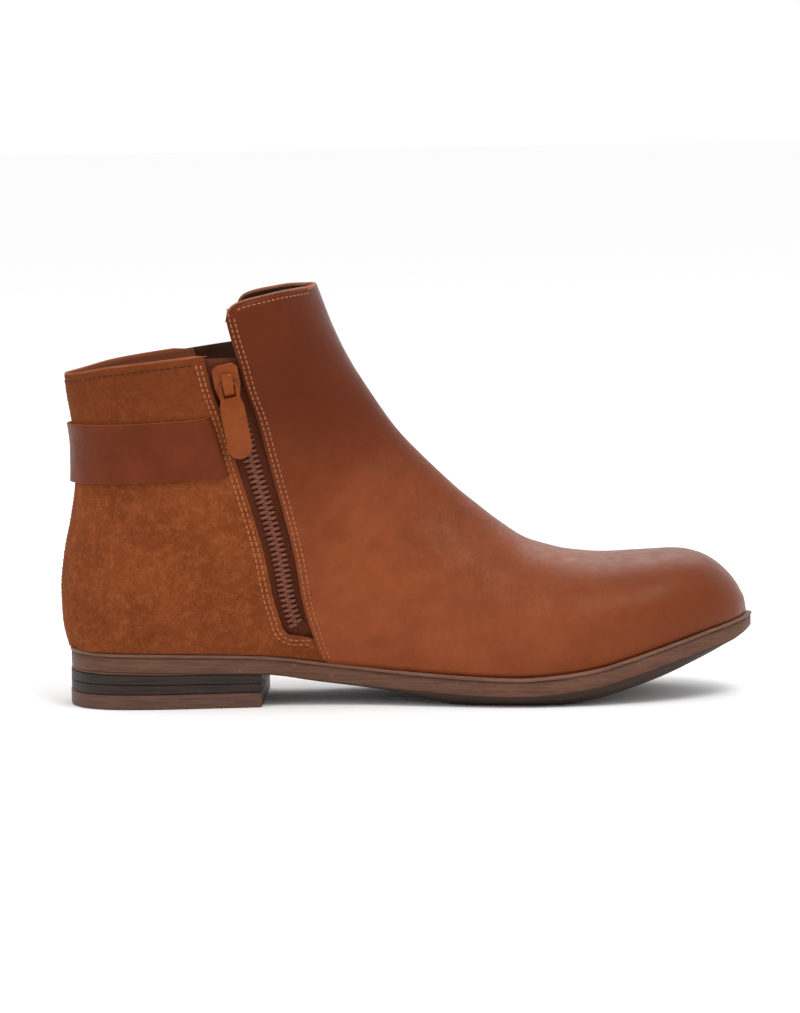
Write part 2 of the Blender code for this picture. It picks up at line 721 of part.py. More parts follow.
def ease(share):
    """Smooth step from 0 to 1."""
    share = np.clip(share, 0, 1)
    return share * share * (3 - 2 * share)


def band_solid(name, wrap, path, half_width, collection, material, slot, slot_half):
    """A strap along a path of (arc, outward) of its middle, with a slot on its centre line.

    half_width is a function of arc, and the slot runs from its first to its last place on the path.
    """
    points, faces = [], []
    for arc, outward in path:
        half = half_width(arc)
        inner = min(slot_half, 0.3 * half)
        middle = (half + inner) / 2
        for offset in (-half, -middle, -inner, inner, middle, half):
            points.append(wrap.point(arc, strap_height(arc) + offset, outward))
    for index, face in enumerate(grid_faces(len(path), 6)):
        row, column = divmod(index, 5)
        if not (column == 2 and slot[0] <= row < slot[1]):
            faces.append(face)
    strap = mesh_object(name, points, faces, collection, material)
    add_solidify(strap, STRAP_THICKNESS, 0)
    return strap


def tube_solid(name, points, radii, collection, material, cyclic=False):
    """A round bar through points, as a mesh."""
    curve = bpy.data.curves.new(name + "_curve", "CURVE")
    curve.dimensions = "3D"
    curve.bevel_depth = 1.0
    curve.bevel_resolution = 2
    curve.use_fill_caps = not cyclic
    spline = curve.splines.new("POLY")
    spline.points.add(len(points) - 1)
    for target, point, radius in zip(spline.points, points, radii):
        target.co = (*point, 1.0)
        target.radius = radius
    spline.use_cyclic_u = cyclic
    source = bpy.data.objects.new(name + "_curve", curve)
    bpy.context.scene.collection.objects.link(source)
    mesh = bpy.data.meshes.new_from_object(source.evaluated_get(bpy.context.evaluated_depsgraph_get()))
    bpy.data.objects.remove(source, do_unlink=True)
    bpy.data.curves.remove(curve)
    vertices = [v.co.copy() for v in mesh.vertices]
    faces = [tuple(polygon.vertices) for polygon in mesh.polygons]
    bpy.data.meshes.remove(mesh)
    return mesh_object(name, vertices, faces, collection, material)


def strap_layers():
    """Distances outward of the middles of the stacked straps and bars."""
    half = STRAP_THICKNESS / 2
    flat = GAP + half
    in_keeper = 2 * GAP + KEEPER_BAND + half
    rear_bar = flat + half + GAP + BAR_RADIUS
    fold = BAR_RADIUS + GAP + half
    over_fold = rear_bar + fold + half + GAP + half
    on_panel = flat + PANEL_STEP
    front_bar = on_panel + half + GAP + BAR_RADIUS
    billet_in_keeper = in_keeper + half + GAP + half
    return dict(flat=flat, in_keeper=in_keeper, rear_bar=rear_bar, fold=fold, over_fold=over_fold,
                on_panel=on_panel, front_bar=front_bar, billet_in_keeper=billet_in_keeper)


def back_strap_path(layers, zip_end):
    """From the zip seam round the heel, through the keeper and folded round the rear bar."""
    lift_start, lift_end = KEEPER_PLACE - 0.022, KEEPER_PLACE - 0.0045
    drop_start, drop_end = KEEPER_PLACE + 0.0035, REAR_BAR - 0.003
    path = []
    for arc in np.concatenate([np.linspace(zip_end, lift_start, 22),
                               np.arange(lift_start + 0.0025, REAR_BAR, 0.0025), [REAR_BAR]]):
        lifted = ease((arc - lift_start) / (lift_end - lift_start))
        dropped = ease((arc - drop_start) / (drop_end - drop_start))
        path.append((arc, layers["flat"] + (lifted - dropped) * (layers["in_keeper"] - layers["flat"])))
    for turn in np.linspace(-math.pi / 2, math.pi / 2, 7)[1:]:
        path.append((REAR_BAR + layers["fold"] * math.cos(turn),
                     layers["rear_bar"] + layers["fold"] * math.sin(turn)))
    path.append((REAR_BAR - 0.003, layers["rear_bar"] + layers["fold"]))
    return path


def front_strap_path(layers):
    """From the front panel under the front bar, over the rear one and through the keeper."""
    climb_start, climb_end = FRONT_BAR - 0.0055, REAR_BAR + 0.005
    drop_start, drop_end = REAR_BAR - 0.0035, KEEPER_PLACE + 0.004
    path = []
    for arc in np.concatenate([np.linspace(BILLET_END, FRONT_BAR - 0.003, 11),
                               np.arange(climb_start, BILLET_TIP + 0.0005, -0.0018), [BILLET_TIP]]):
        climbed = ease((climb_start - arc) / (climb_start - climb_end))
        dropped = ease((drop_start - arc) / (drop_start - drop_end))
        path.append((arc, layers["on_panel"]
                     + climbed * (layers["over_fold"] - layers["on_panel"])
                     - dropped * (layers["over_fold"] - layers["billet_in_keeper"])))
    return path


def billet_half_width(arc):
    """Half the strap's width, round at the tip and at the stitched end."""
    half = STRAP_WIDTH / 2
    from_tip = np.clip((arc - BILLET_TIP) / (0.8 * half), 0.02, 1)
    return half * math.sqrt(1 - (1 - from_tip) ** 2)


def build_straps(last, collection, leather, brass):
    low = rise_to_height(STRAP_RISE) - 0.62 * FRAME_HEIGHT
    high = rise_to_height(STRAP_RISE + 1.6 * STRAP_CLIMB) + 0.62 * FRAME_HEIGHT
    wrap = Wrap(last, low, high)
    layers = strap_layers()
    in_frame = FRAME_HEIGHT / 2 - BAR_RADIUS - FRAME_CORNER - 0.001
    back_half_width = lambda arc: STRAP_WIDTH / 2 if arc < REAR_BAR - FOLD_REACH else in_frame

    level = strap_height(-STRAP_CLIMB_ARC)
    zip_end = wrap.zip_side_arc(slot_middle(level) - slot_width(level) / 2 - STRAP_TUCK, level)
    path = back_strap_path(layers, zip_end)
    fold_start = next(i for i, (arc, _) in enumerate(path) if arc > REAR_BAR - FOLD_REACH)
    band_solid("strap_back", wrap, path, back_half_width, collection, leather,
               (fold_start, len(path)), 0.0025)

    path = front_strap_path(layers)
    hole = [i for i, (arc, _) in enumerate(path) if REAR_BAR + 0.0045 < arc < FRONT_BAR - 0.008]
    band_solid("strap_front", wrap, path, billet_half_width, collection, leather,
               (hole[0], hole[-1]), PRONG_RADIUS + 0.0006)

    build_keeper(wrap, layers, collection, brass)
    build_buckle(wrap, layers, collection, brass)


def rounded_rectangle(half_x, half_y, radius, corner_steps=4):
    """Points round a rectangle with round corners, counterclockwise."""
    points = []
    for turn, (x, y) in enumerate(((1, 1), (-1, 1), (-1, -1), (1, -1))):
        for step in range(corner_steps + 1):
            angle = math.pi / 2 * (turn + step / corner_steps)
            points.append((x * (half_x - radius) + radius * math.cos(angle),
                           y * (half_y - radius) + radius * math.sin(angle)))
    return points


def divided(loop, longest=0.006, steps=4):
    """The same closed outline with its long edges cut into steps, so that it can bend."""
    points = []
    for (x, y), (next_x, next_y) in zip(loop, loop[1:] + loop[:1]):
        count = steps if math.hypot(next_x - x, next_y - y) > longest else 1
        points += [(x + (next_x - x) * k / count, y + (next_y - y) * k / count)
                   for k in range(count)]
    return points


def build_keeper(wrap, layers, collection, material):
    """A flat brass loop round both straps."""
    inner = GAP + KEEPER_BAND / 2
    outer = layers["billet_in_keeper"] + STRAP_THICKNESS / 2 + GAP + KEEPER_BAND / 2
    loop = divided(rounded_rectangle((outer - inner) / 2, (KEEPER_HEIGHT - KEEPER_BAND) / 2, 0.0012, 3))
    middle = strap_height(KEEPER_PLACE)
    points = [wrap.point(KEEPER_PLACE + side * KEEPER_WIDTH / 2, middle + rise,
                         (outer + inner) / 2 + outward)
              for outward, rise in loop for side in (-1, 1)]
    faces = grid_faces(len(loop), 2, close_rows=True)
    keeper = mesh_object("strap_keeper", points, faces, collection, material)
    add_solidify(keeper, KEEPER_BAND, 0)


def build_buckle(wrap, layers, collection, material):
    """The frame, bent round the ankle with the strap, and the prong hooked on its rear bar."""
    center = (REAR_BAR + FRONT_BAR) / 2
    middle = strap_height(center)
    half = (FRONT_BAR - REAR_BAR) / 2
    outline = divided(rounded_rectangle(half, FRAME_HEIGHT / 2 - BAR_RADIUS, FRAME_CORNER))
    bar_level = lambda arc: layers["rear_bar"] + ((arc - REAR_BAR) / (FRONT_BAR - REAR_BAR)
                                                  * (layers["front_bar"] - layers["rear_bar"]))
    points = [wrap.point(center + x, middle + y, bar_level(center + x)) for x, y in outline]
    tube_solid("buckle_frame", points, [BAR_RADIUS] * len(points), collection, material, cyclic=True)

    hook = BAR_RADIUS + GAP / 2 + PRONG_RADIUS
    path = [(REAR_BAR + hook * math.cos(turn), layers["rear_bar"] + hook * math.sin(turn), PRONG_RADIUS)
            for turn in np.radians(np.linspace(-50, -270, 12))]
    over_front = layers["front_bar"] + BAR_RADIUS + GAP + PRONG_RADIUS
    start, end = REAR_BAR, FRONT_BAR - 0.0012
    for share in np.linspace(0, 1, 6)[1:]:
        level = path[11][1] + share * (over_front + 0.0004 - path[11][1])
        path.append((start + share * (end - start), level, PRONG_RADIUS))
    ball = FRONT_BAR + 0.0012
    level = layers["front_bar"] + BAR_RADIUS + GAP + PRONG_BALL_RADIUS
    for turn in np.radians(np.linspace(150, 12, 8)):
        path.append((ball + PRONG_BALL_RADIUS * math.cos(turn), level,
                     PRONG_BALL_RADIUS * math.sin(turn)))
    points = [wrap.point(arc, strap_height(arc), outward) for arc, outward, _ in path]
    tube_solid("buckle_prong", points, [radius for _, _, radius in path], collection, material)


def build_zip_tape(last, collection, material):
    depth = WALL + 2 * GAP + TAPE_THICKNESS / 2
    points = []
    heights = np.linspace(rise_to_height(SLOT_BOTTOM_RISE) - 0.0085, rise_to_height(0.812), 16)
    for height in heights:
        reach = slot_width(height) / 2 + TAPE_MARGIN
        for share in np.linspace(-1, 1, 5):
            place, _, _, outward = last.frame(slot_middle(height) + share * reach, height, 0)
            points.append(place - depth * outward)
    tape = mesh_object("zip_tape", points, grid_faces(len(heights), 5), collection, material)
    add_solidify(tape, TAPE_THICKNESS, 0)


def build_zip_teeth(last, collection, material):
    """The closed coil as one ribbed chain on the tape."""
    floor = -(WALL + 2 * GAP) + GAP
    low, high = rise_to_height(SLOT_BOTTOM_RISE) - 0.001, rise_to_height(SLIDER_RISE)
    count = int((high - low) / (COIL_PITCH / 2))
    points = []
    for i, height in enumerate(np.linspace(low, high, count)):
        slope = (slot_middle(height + 0.001) - slot_middle(height - 0.001)) / 0.002
        across = np.array([1.0, -slope]) / math.hypot(1.0, slope) * COIL_WIDTH / 2
        top = floor + COIL_HEIGHT * (1.0 if i % 2 else 0.62)
        for side, level in ((-1, floor), (1, floor), (0.75, top), (-0.75, top)):
            place, _, _, outward = last.frame(slot_middle(height) + side * across[0],
                                              height + side * across[1], 0)
            points.append(place + level * outward)
    faces = [(0, 1, 2, 3), tuple(range(4 * count - 4, 4 * count))]
    for i in range(count - 1):
        for j in range(4):
            a, b = 4 * i + j, 4 * i + (j + 1) % 4
            faces.append((a, b, b + 4, a + 4))
    return mesh_object("zip_teeth", points, faces, collection, material)


def axis_prism(name, outline, low, high, origin, axes, collection, material=None):
    """A prism over an outline in the plane of the first two axes, from low to high on the third."""
    corners = [(p, q, level) for level in (low, high) for p, q in outline]
    vertices = [origin + p * axes[0] + q * axes[1] + r * axes[2] for p, q, r in corners]
    count = len(outline)
    faces = [tuple(range(count)), tuple(range(2 * count - 1, count - 1, -1))]
    faces += [(i, (i + 1) % count, count + (i + 1) % count, count + i) for i in range(count)]
    return mesh_object(name, vertices, faces, collection, material)


def slider_frame(last):
    """Place of the slider's middle and its axes down the zip, across it and outward."""
    height = rise_to_height(SLIDER_RISE)
    place, forward, upward, outward = last.frame(slot_middle(height), height, 0)
    down = math.sin(SLIDER_LEAN) * forward - math.cos(SLIDER_LEAN) * upward
    down -= np.dot(down, outward) * outward
    down /= np.linalg.norm(down)
    return place, down, np.cross(down, outward), outward


def build_slider(last, collection, cutters, material):
    """The slider body with its bridge, and the pull that hangs from the bridge."""
    place, down, across, outward = slider_frame(last)
    half, length = SLIDER_WIDTH / 2 - 0.0005, SLIDER_LENGTH / 2
    outline = [(-length, -0.6 * half), (-0.8 * length, -half), (0.15 * length, -half),
               (length, -0.72 * half), (length, 0.72 * half), (0.15 * length, half),
               (-0.8 * length, half), (-length, 0.6 * half)]
    base = 0.0001
    top = base + SLIDER_THICKNESS
    slider = axis_prism("zip_slider", outline, base, top, place, (down, across, outward),
                        collection, material)

    room = PULL_THICKNESS
    pivot_level = top + room
    under, over = pivot_level + room, pivot_level + room + BRIDGE_THICKNESS
    inner = 0.0033
    outer = inner + BRIDGE_THICKNESS
    root = top - 0.0005
    arch = [(-outer, root), (-outer, under), (-inner, over), (inner, over), (outer, under),
            (outer, root), (inner, root), (inner, under - 0.0005), (inner - 0.0005, under),
            (0.0005 - inner, under), (-inner, under - 0.0005), (-inner, root)]
    bridge = axis_prism("zip_bridge_addition", arch, -BRIDGE_WIDTH / 2, BRIDGE_WIDTH / 2, place,
                        (down, outward, across), cutters)
    add_cut(slider, bridge, "UNION")

    pivot = place + pivot_level * outward
    hang = math.cos(PULL_TILT) * down + math.sin(PULL_TILT) * outward
    face = np.cross(across, hang)
    bar = PULL_THICKNESS / 2
    rail = BRIDGE_WIDTH / 2 + 0.0019
    wide = PULL_WIDTH / 2
    end = PULL_LENGTH - bar
    tip = [(end - wide + wide * math.sin(turn), -wide * math.cos(turn))
           for turn in np.linspace(0, math.pi, 11)]
    outline = [(-bar, -rail + 0.0008), (-bar + 0.0008, -rail), (0.0062, -rail), (0.0085, -wide)]
    outline += tip + [(p, -q) for p, q in reversed(outline)]
    pull = axis_prism("zip_pull", outline, -bar, bar, pivot, (hang, across, face), collection, material)
    hole = [(bar, -rail + 0.0015), (bar, rail - 0.0015),
            (0.0052, rail - 0.0015), (0.0052, -rail + 0.0015)]
    cutter = axis_prism("zip_pull_hole_cutter", hole, -2 * bar, 2 * bar, pivot,
                        (hang, across, face), cutters)
    add_cut(pull, cutter)
    for vertex in pull.data.vertices:
        vertex.co -= Vector(pivot)
    pull.location = pivot


def move_to_frame(collections):
    """Put the origin under the middle of the heel."""
    for collection in collections:
        for item in collection.objects:
            item.location.x -= HEEL_LENGTH / 2


def main():
    clear_scene()
    boot = make_collection("flat_ankle_boot")
    cutters = make_collection("cutters")
    looks = make_materials()
    last = Last()
    build_outsole(boot, looks["outsole_edge"])
    build_heel(boot, looks["heel_dark"], looks["heel_brown"])
    build_insole(boot, looks["footbed"])
    build_upper(last, boot, cutters, looks["panel_leather"])
    build_straps(last, boot, looks["strap_leather"], looks["antique_brass"])
    build_zip_tape(last, boot, looks["zip_fabric"])
    build_zip_teeth(last, boot, looks["zip_coil"])
    build_slider(last, boot, cutters, looks["slider_paint"])
    move_to_frame((boot, cutters))


main()
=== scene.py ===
import math

import bmesh
import bpy
import numpy as np
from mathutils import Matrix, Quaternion, Vector


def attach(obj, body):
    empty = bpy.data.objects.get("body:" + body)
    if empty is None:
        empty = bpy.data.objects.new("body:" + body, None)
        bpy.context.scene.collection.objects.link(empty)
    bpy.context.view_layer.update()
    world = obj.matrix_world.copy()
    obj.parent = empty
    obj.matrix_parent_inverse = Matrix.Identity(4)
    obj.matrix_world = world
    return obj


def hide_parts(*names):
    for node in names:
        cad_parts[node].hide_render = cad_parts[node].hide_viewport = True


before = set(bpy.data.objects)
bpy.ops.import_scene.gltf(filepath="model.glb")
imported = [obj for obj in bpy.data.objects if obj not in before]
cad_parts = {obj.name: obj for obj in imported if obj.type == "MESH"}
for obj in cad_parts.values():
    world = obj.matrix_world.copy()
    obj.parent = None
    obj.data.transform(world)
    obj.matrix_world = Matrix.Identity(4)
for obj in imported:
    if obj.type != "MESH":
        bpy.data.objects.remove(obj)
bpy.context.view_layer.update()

# Sizes in metres, the same as the solids have
SOLE_LENGTH = 0.266
BALL_WIDTH = 0.0925
HEEL_HEIGHT = 0.0222
SHAFT_RISE = 0.139
HEEL_LENGTH = 0.076
WALL = 0.0018
PANEL_STEP = 0.0007
GAP = 0.0003
EDGE_SPARE = 0.0015
LIP_HEIGHT = 0.0013
LIP_DEPTH = 0.0004
SIDE_HEIGHT = 0.0076
BEVEL_WIDTH = 0.008
TOP_PIECE_HEIGHT = 0.0055
INSOLE_THICKNESS = 0.003
INSOLE_CLEARANCE = 0.001
STRAP_WIDTH = 0.023
STRAP_THICKNESS = 0.0016
BAR_RADIUS = 0.0011
FRAME_HEIGHT = 0.030
FRAME_CORNER = 0.0025
FRAME_LENGTH = 0.022
KEEPER_HEIGHT = 0.0265
KEEPER_WIDTH = 0.004
KEEPER_BAND = 0.0009
PRONG_RADIUS = 0.0008
PRONG_BALL_RADIUS = 0.0016
TAPE_MARGIN = 0.004
TAPE_THICKNESS = 0.0008
COIL_WIDTH = 0.0065
COIL_PITCH = 0.002
SLIDER_LENGTH = 0.015
SLIDER_WIDTH = 0.011
SLIDER_THICKNESS = 0.0014
BRIDGE_WIDTH = 0.004
BRIDGE_THICKNESS = 0.001
PULL_LENGTH = 0.030
PULL_WIDTH = 0.0095
PULL_THICKNESS = 0.0012

# along, medial, lateral: the sole outline in shares of sole length and ball width
OUTLINE = (
    (0.000, 0.000, 0.000),
    (0.004, 0.092, 0.092),
    (0.015, 0.184, 0.184),
    (0.038, 0.270, 0.270),
    (0.075, 0.324, 0.324),
    (0.132, 0.341, 0.341),
    (0.226, 0.324, 0.335),
    (0.338, 0.303, 0.341),
    (0.432, 0.319, 0.368),
    (0.526, 0.389, 0.422),
    (0.620, 0.465, 0.476),
    (0.695, 0.492, 0.508),
    (0.771, 0.476, 0.497),
    (0.846, 0.427, 0.449),
    (0.902, 0.357, 0.373),
    (0.947, 0.265, 0.270),
    (0.977, 0.168, 0.157),
    (0.992, 0.092, 0.081),
    (1.000, 0.000, 0.000),
)

# along, seat, underside, ledge: in shares of sole length, heel height, heel height and ball width
SOLE = (
    (0.000, 1.000, 0.622, 0.009),
    (0.120, 0.964, 0.595, 0.009),
    (0.286, 0.890, 0.563, 0.012),
    (0.387, 0.743, 0.383, 0.020),
    (0.500, 0.600, 0.180, 0.026),
    (0.583, 0.538, 0.000, 0.030),
    (0.658, 0.505, 0.000, 0.034),
    (0.714, 0.545, 0.000, 0.035),
    (0.771, 0.640, 0.090, 0.035),
    (0.827, 0.820, 0.270, 0.036),
    (0.883, 1.020, 0.495, 0.036),
    (0.940, 1.220, 0.788, 0.037),
    (1.000, 1.396, 1.149, 0.037),
)

# along, rise: the front edge of the last seen from the side
RIDGE = (
    (0.363, 1.077),
    (0.372, 1.031),
    (0.395, 0.917),
    (0.417, 0.833),
    (0.440, 0.765),
    (0.486, 0.645),
    (0.531, 0.560),
    (0.577, 0.481),
    (0.623, 0.413),
    (0.668, 0.355),
    (0.714, 0.319),
    (0.759, 0.293),
    (0.805, 0.270),
    (0.850, 0.248),
    (0.895, 0.224),
    (0.925, 0.194),
    (0.947, 0.159),
    (0.964, 0.121),
    (0.976, 0.086),
    (0.983, 0.058),
    (0.987, 0.038),
    (0.9895, 0.004),
)

# foot_along, foot_rise, ridge_along, medial, lateral, widest, roundness: sections across the last
SECTIONS = (
    (0.9895, 0.000, 0.9895, 0.005, 0.005, 0.30, 2.00),
    (0.9857, 0.000, 0.9865, 0.067, 0.061, 0.30, 2.10),
    (0.9774, 0.000, 0.9797, 0.141, 0.132, 0.30, 2.20),
    (0.9624, 0.000, 0.9662, 0.211, 0.211, 0.30, 2.20),
    (0.9417, 0.000, 0.9492, 0.272, 0.279, 0.30, 2.20),
    (0.9135, 0.000, 0.9267, 0.328, 0.342, 0.30, 2.20),
    (0.8759, 0.000, 0.8947, 0.383, 0.402, 0.30, 2.20),
    (0.8271, 0.000, 0.8534, 0.432, 0.454, 0.30, 2.20),
    (0.7707, 0.000, 0.8045, 0.465, 0.486, 0.30, 2.15),
    (0.7143, 0.000, 0.7594, 0.481, 0.497, 0.30, 2.10),
    (0.6579, 0.000, 0.7143, 0.474, 0.492, 0.30, 2.00),
    (0.5639, 0.000, 0.6466, 0.427, 0.454, 0.28, 1.90),
    (0.4511, 0.000, 0.5940, 0.368, 0.400, 0.28, 1.85),
    (0.3383, 0.000, 0.5564, 0.357, 0.378, 0.28, 1.90),
    (0.2256, 0.000, 0.5301, 0.373, 0.384, 0.28, 1.95),
    (0.1316, 0.000, 0.5132, 0.389, 0.389, 0.28, 2.00),
    (0.0564, 0.000, 0.5000, 0.392, 0.392, 0.29, 2.00),
    (0.0188, 0.000, 0.4936, 0.394, 0.394, 0.30, 2.00),
    (0.0030, 0.000, 0.4910, 0.395, 0.395, 0.31, 2.00),
    (-0.0098, 0.085, 0.481, 0.392, 0.392, 0.34, 2.00),
    (-0.0113, 0.171, 0.470, 0.384, 0.384, 0.37, 2.00),
    (-0.0056, 0.272, 0.455, 0.373, 0.373, 0.40, 2.00),
    (0.0056, 0.373, 0.440, 0.368, 0.368, 0.43, 2.00),
    (0.0132, 0.473, 0.425, 0.371, 0.371, 0.46, 2.00),
    (0.0143, 0.567, 0.410, 0.378, 0.378, 0.50, 2.00),
    (0.0094, 0.653, 0.395, 0.389, 0.389, 0.54, 2.00),
    (0.0030, 0.732, 0.383, 0.398, 0.398, 0.56, 2.00),
    (0.0008, 0.804, 0.376, 0.398, 0.398, 0.58, 2.00),
    (-0.0019, 0.891, 0.370, 0.376, 0.376, 0.60, 2.00),
    (-0.0038, 0.991, 0.363, 0.346, 0.346, 0.62, 2.00),
)
HEEL_BLEND = 0.13
FIRST_CLOSED = 18

# rise, medial, lateral: the rear edge of the front panel
SEAM = (
    (-0.080, 0.380, 0.353),
    (-0.038, 0.3755, 0.349),
    (0.042, 0.363, 0.331),
    (0.130, 0.350, 0.312),
    (0.260, 0.339, 0.286),
    (0.381, 0.324, 0.262),
    (0.527, 0.304, 0.232),
    (0.648, 0.288, 0.205),
    (0.721, 0.275, 0.190),
    (0.806, 0.264, 0.175),
    (0.867, 0.255, 0.165),
    (0.914, 0.249, 0.158),
    (1.060, 0.236, 0.140),
)

# along, rise: collar line, then the top edge of the front panel
COLLAR = (
    (-0.100, 0.752),
    (0.002, 0.761),
    (0.068, 0.785),
    (0.154, 0.806),
    (0.199, 0.816),
    (0.244, 0.827),
    (0.300, 0.840),
)
PANEL_TOP = (
    (0.2460, 0.895),
    (0.2480, 0.915),
    (0.2525, 0.940),
    (0.260, 0.957),
    (0.275, 0.969),
    (0.302, 0.980),
    (0.331, 0.990),
    (0.372, 0.9965),
    (0.460, 1.004),
)

# rise, width: the zip slot behind the panel's edge
SLOT = (
    (0.078, 0.0395),
    (0.164, 0.0410),
    (0.381, 0.0440),
    (0.527, 0.0465),
    (0.806, 0.0475),
    (1.100, 0.0475),
)
SLOT_BOTTOM_RISE = 0.078

STRAP_RISE = 0.545
STRAP_CLIMB = 0.030
STRAP_CLIMB_ARC = 0.085
BILLET_TIP = 0.0677 * SOLE_LENGTH
KEEPER_PLACE = 0.1128 * SOLE_LENGTH
REAR_BAR = 0.1692 * SOLE_LENGTH
FRONT_BAR = REAR_BAR + FRAME_LENGTH
BILLET_END = 0.391 * SOLE_LENGTH
STRAP_TUCK = 0.0045
FOLD_REACH = 0.005
SLIDER_RISE = 0.747
SLIDER_LEAN = math.radians(9)
PULL_TILT = math.radians(4)

# What only the scene has: fine relief, the fineness of the meshes and the camera
CAMERA_ROLL = math.radians(-1.2)
# Outsole faces that look down further than this tilt get a darker material as painted shade
PAINTED_SHADE_TILT = -0.42    # faces of the outsole that look further down than this are its underside
BACK_SEAM_DEPTH = 0.0005
BACK_SEAM_REACH = 0.0006
COLLAR_CORD_RADIUS = 0.0008
PANEL_CORD_RADIUS = 0.00085
SMALLEST_EDGE = 0.00001
COLLAR_CORNER = PANEL_TOP[1][0] * SOLE_LENGTH
LATERAL_SEAM_AT_COLLAR = SEAM[9][2] * SOLE_LENGTH
PANEL_ROWS = 230
PANEL_COLUMNS = 56
WING_COLUMN = 12
BAR_SIDES = 6


def smooth_curve(table, column):
    """A monotone cubic through one column of a table, as a function of its first column."""
    rows = np.asarray(table, float)
    xs, ys = rows[:, 0], rows[:, column]
    widths = np.diff(xs)
    slopes = np.diff(ys) / widths
    tangents = np.zeros_like(ys)
    tangents[0], tangents[-1] = slopes[0], slopes[-1]
    for i in range(1, len(xs) - 1):
        if slopes[i - 1] * slopes[i] > 0:
            near, far = 2 * widths[i] + widths[i - 1], widths[i] + 2 * widths[i - 1]
            tangents[i] = (near + far) / (near / slopes[i - 1] + far / slopes[i])

    def value(x):
        x = np.clip(x, xs[0], xs[-1])
        i = np.clip(np.searchsorted(xs, x) - 1, 0, len(xs) - 2)
        t = (x - xs[i]) / widths[i]
        return ((2 * t**3 - 3 * t**2 + 1) * ys[i] + (t**3 - 2 * t**2 + t) * widths[i] * tangents[i]
                + (3 * t**2 - 2 * t**3) * ys[i + 1] + (t**3 - t**2) * widths[i] * tangents[i + 1])

    return value


MEDIAL_SHARE = smooth_curve(OUTLINE, 1)
LATERAL_SHARE = smooth_curve(OUTLINE, 2)
SEAT_SHARE = smooth_curve(SOLE, 1)
UNDERSIDE_SHARE = smooth_curve(SOLE, 2)
LEDGE_SHARE = smooth_curve(SOLE, 3)
RIDGE_SHARE = smooth_curve(RIDGE, 1)
SEAM_SHARES = (smooth_curve(SEAM, 1), smooth_curve(SEAM, 2))
SLOT_SHARE = smooth_curve(SLOT, 1)
COLLAR_SHARE = smooth_curve(COLLAR, 1)
PANEL_TOP_SHARE = smooth_curve(PANEL_TOP, 1)


def seat_height(along):
    """Height of the outsole's top, on which the upper stands."""
    return HEEL_HEIGHT * SEAT_SHARE(along / SOLE_LENGTH)


def underside_height(along):
    """Height of the outsole's underside."""
    return HEEL_HEIGHT * UNDERSIDE_SHARE(along / SOLE_LENGTH)


def ledge_width(along):
    """How far the outsole stands out round the upper."""
    return BALL_WIDTH * LEDGE_SHARE(along / SOLE_LENGTH)


def rise_to_height(rise):
    """Height above the floor of a share of the shaft's rise."""
    return HEEL_HEIGHT + rise * SHAFT_RISE


def seam_along(side, height):
    """Where the front panel's rear edge is at this height; side 0 is medial and 1 lateral."""
    return SOLE_LENGTH * SEAM_SHARES[side]((height - HEEL_HEIGHT) / SHAFT_RISE)


def slot_width(height):
    """Width of the zip slot along the boot."""
    return SOLE_LENGTH * SLOT_SHARE((height - HEEL_HEIGHT) / SHAFT_RISE)


def slot_middle(height):
    """Where the middle of the zip slot is at this height."""
    return seam_along(0, height) - slot_width(height) / 2


def collar_height(along):
    """Height of the collar line."""
    return rise_to_height(COLLAR_SHARE(along / SOLE_LENGTH))


def panel_top_height(along):
    """Height of the front panel's top edge."""
    return rise_to_height(PANEL_TOP_SHARE(along / SOLE_LENGTH))


def ease(share):
    """Smooth step from 0 to 1."""
    share = np.clip(share, 0, 1)
    return share * share * (3 - 2 * share)


def sole_stations(end=SOLE_LENGTH, count=90):
    """Places along the sole, closer together at both round ends."""
    turns = np.linspace(0, math.pi, count)
    even = SOLE_LENGTH * (1 - np.cos(turns)) / 2
    return np.array([a for a in even if a < end - 0.0006] + [end])


def outline_loop(stations, inset):
    """Both sides of the sole outline moved in by inset, as (lateral, medial) rows of (along, y)."""
    shares = stations / SOLE_LENGTH
    lateral = np.column_stack([stations, BALL_WIDTH * LATERAL_SHARE(shares)])
    medial = np.column_stack([stations, -BALL_WIDTH * MEDIAL_SHARE(shares)])
    moved = []
    for side, other in ((lateral, medial), (medial, lateral)):
        before = np.vstack([other[1] if side[0, 1] == other[0, 1] else side[0], side[:-1]])
        closes = side[-1, 1] == other[-1, 1]
        after = np.vstack([side[1:], other[-2] if closes else side[-1]])
        tangent = after - before
        tangent /= np.linalg.norm(tangent, axis=1)[:, None]
        inward = np.column_stack([tangent[:, 1], -tangent[:, 0]])
        if side is medial:
            inward = -inward
        moved.append(side + inward * np.broadcast_to(inset, stations.shape)[:, None])
    return moved


def feather_widths():
    """The upper's half widths where it meets the sole, as functions of along."""
    stations = sole_stations(count=60)
    loops = outline_loop(stations, ledge_width(stations))
    return [lambda along, loop=loop: np.interp(along, loop[:, 0], np.abs(loop[:, 1]), 0, 0)
            for loop in (loops[1], loops[0])]


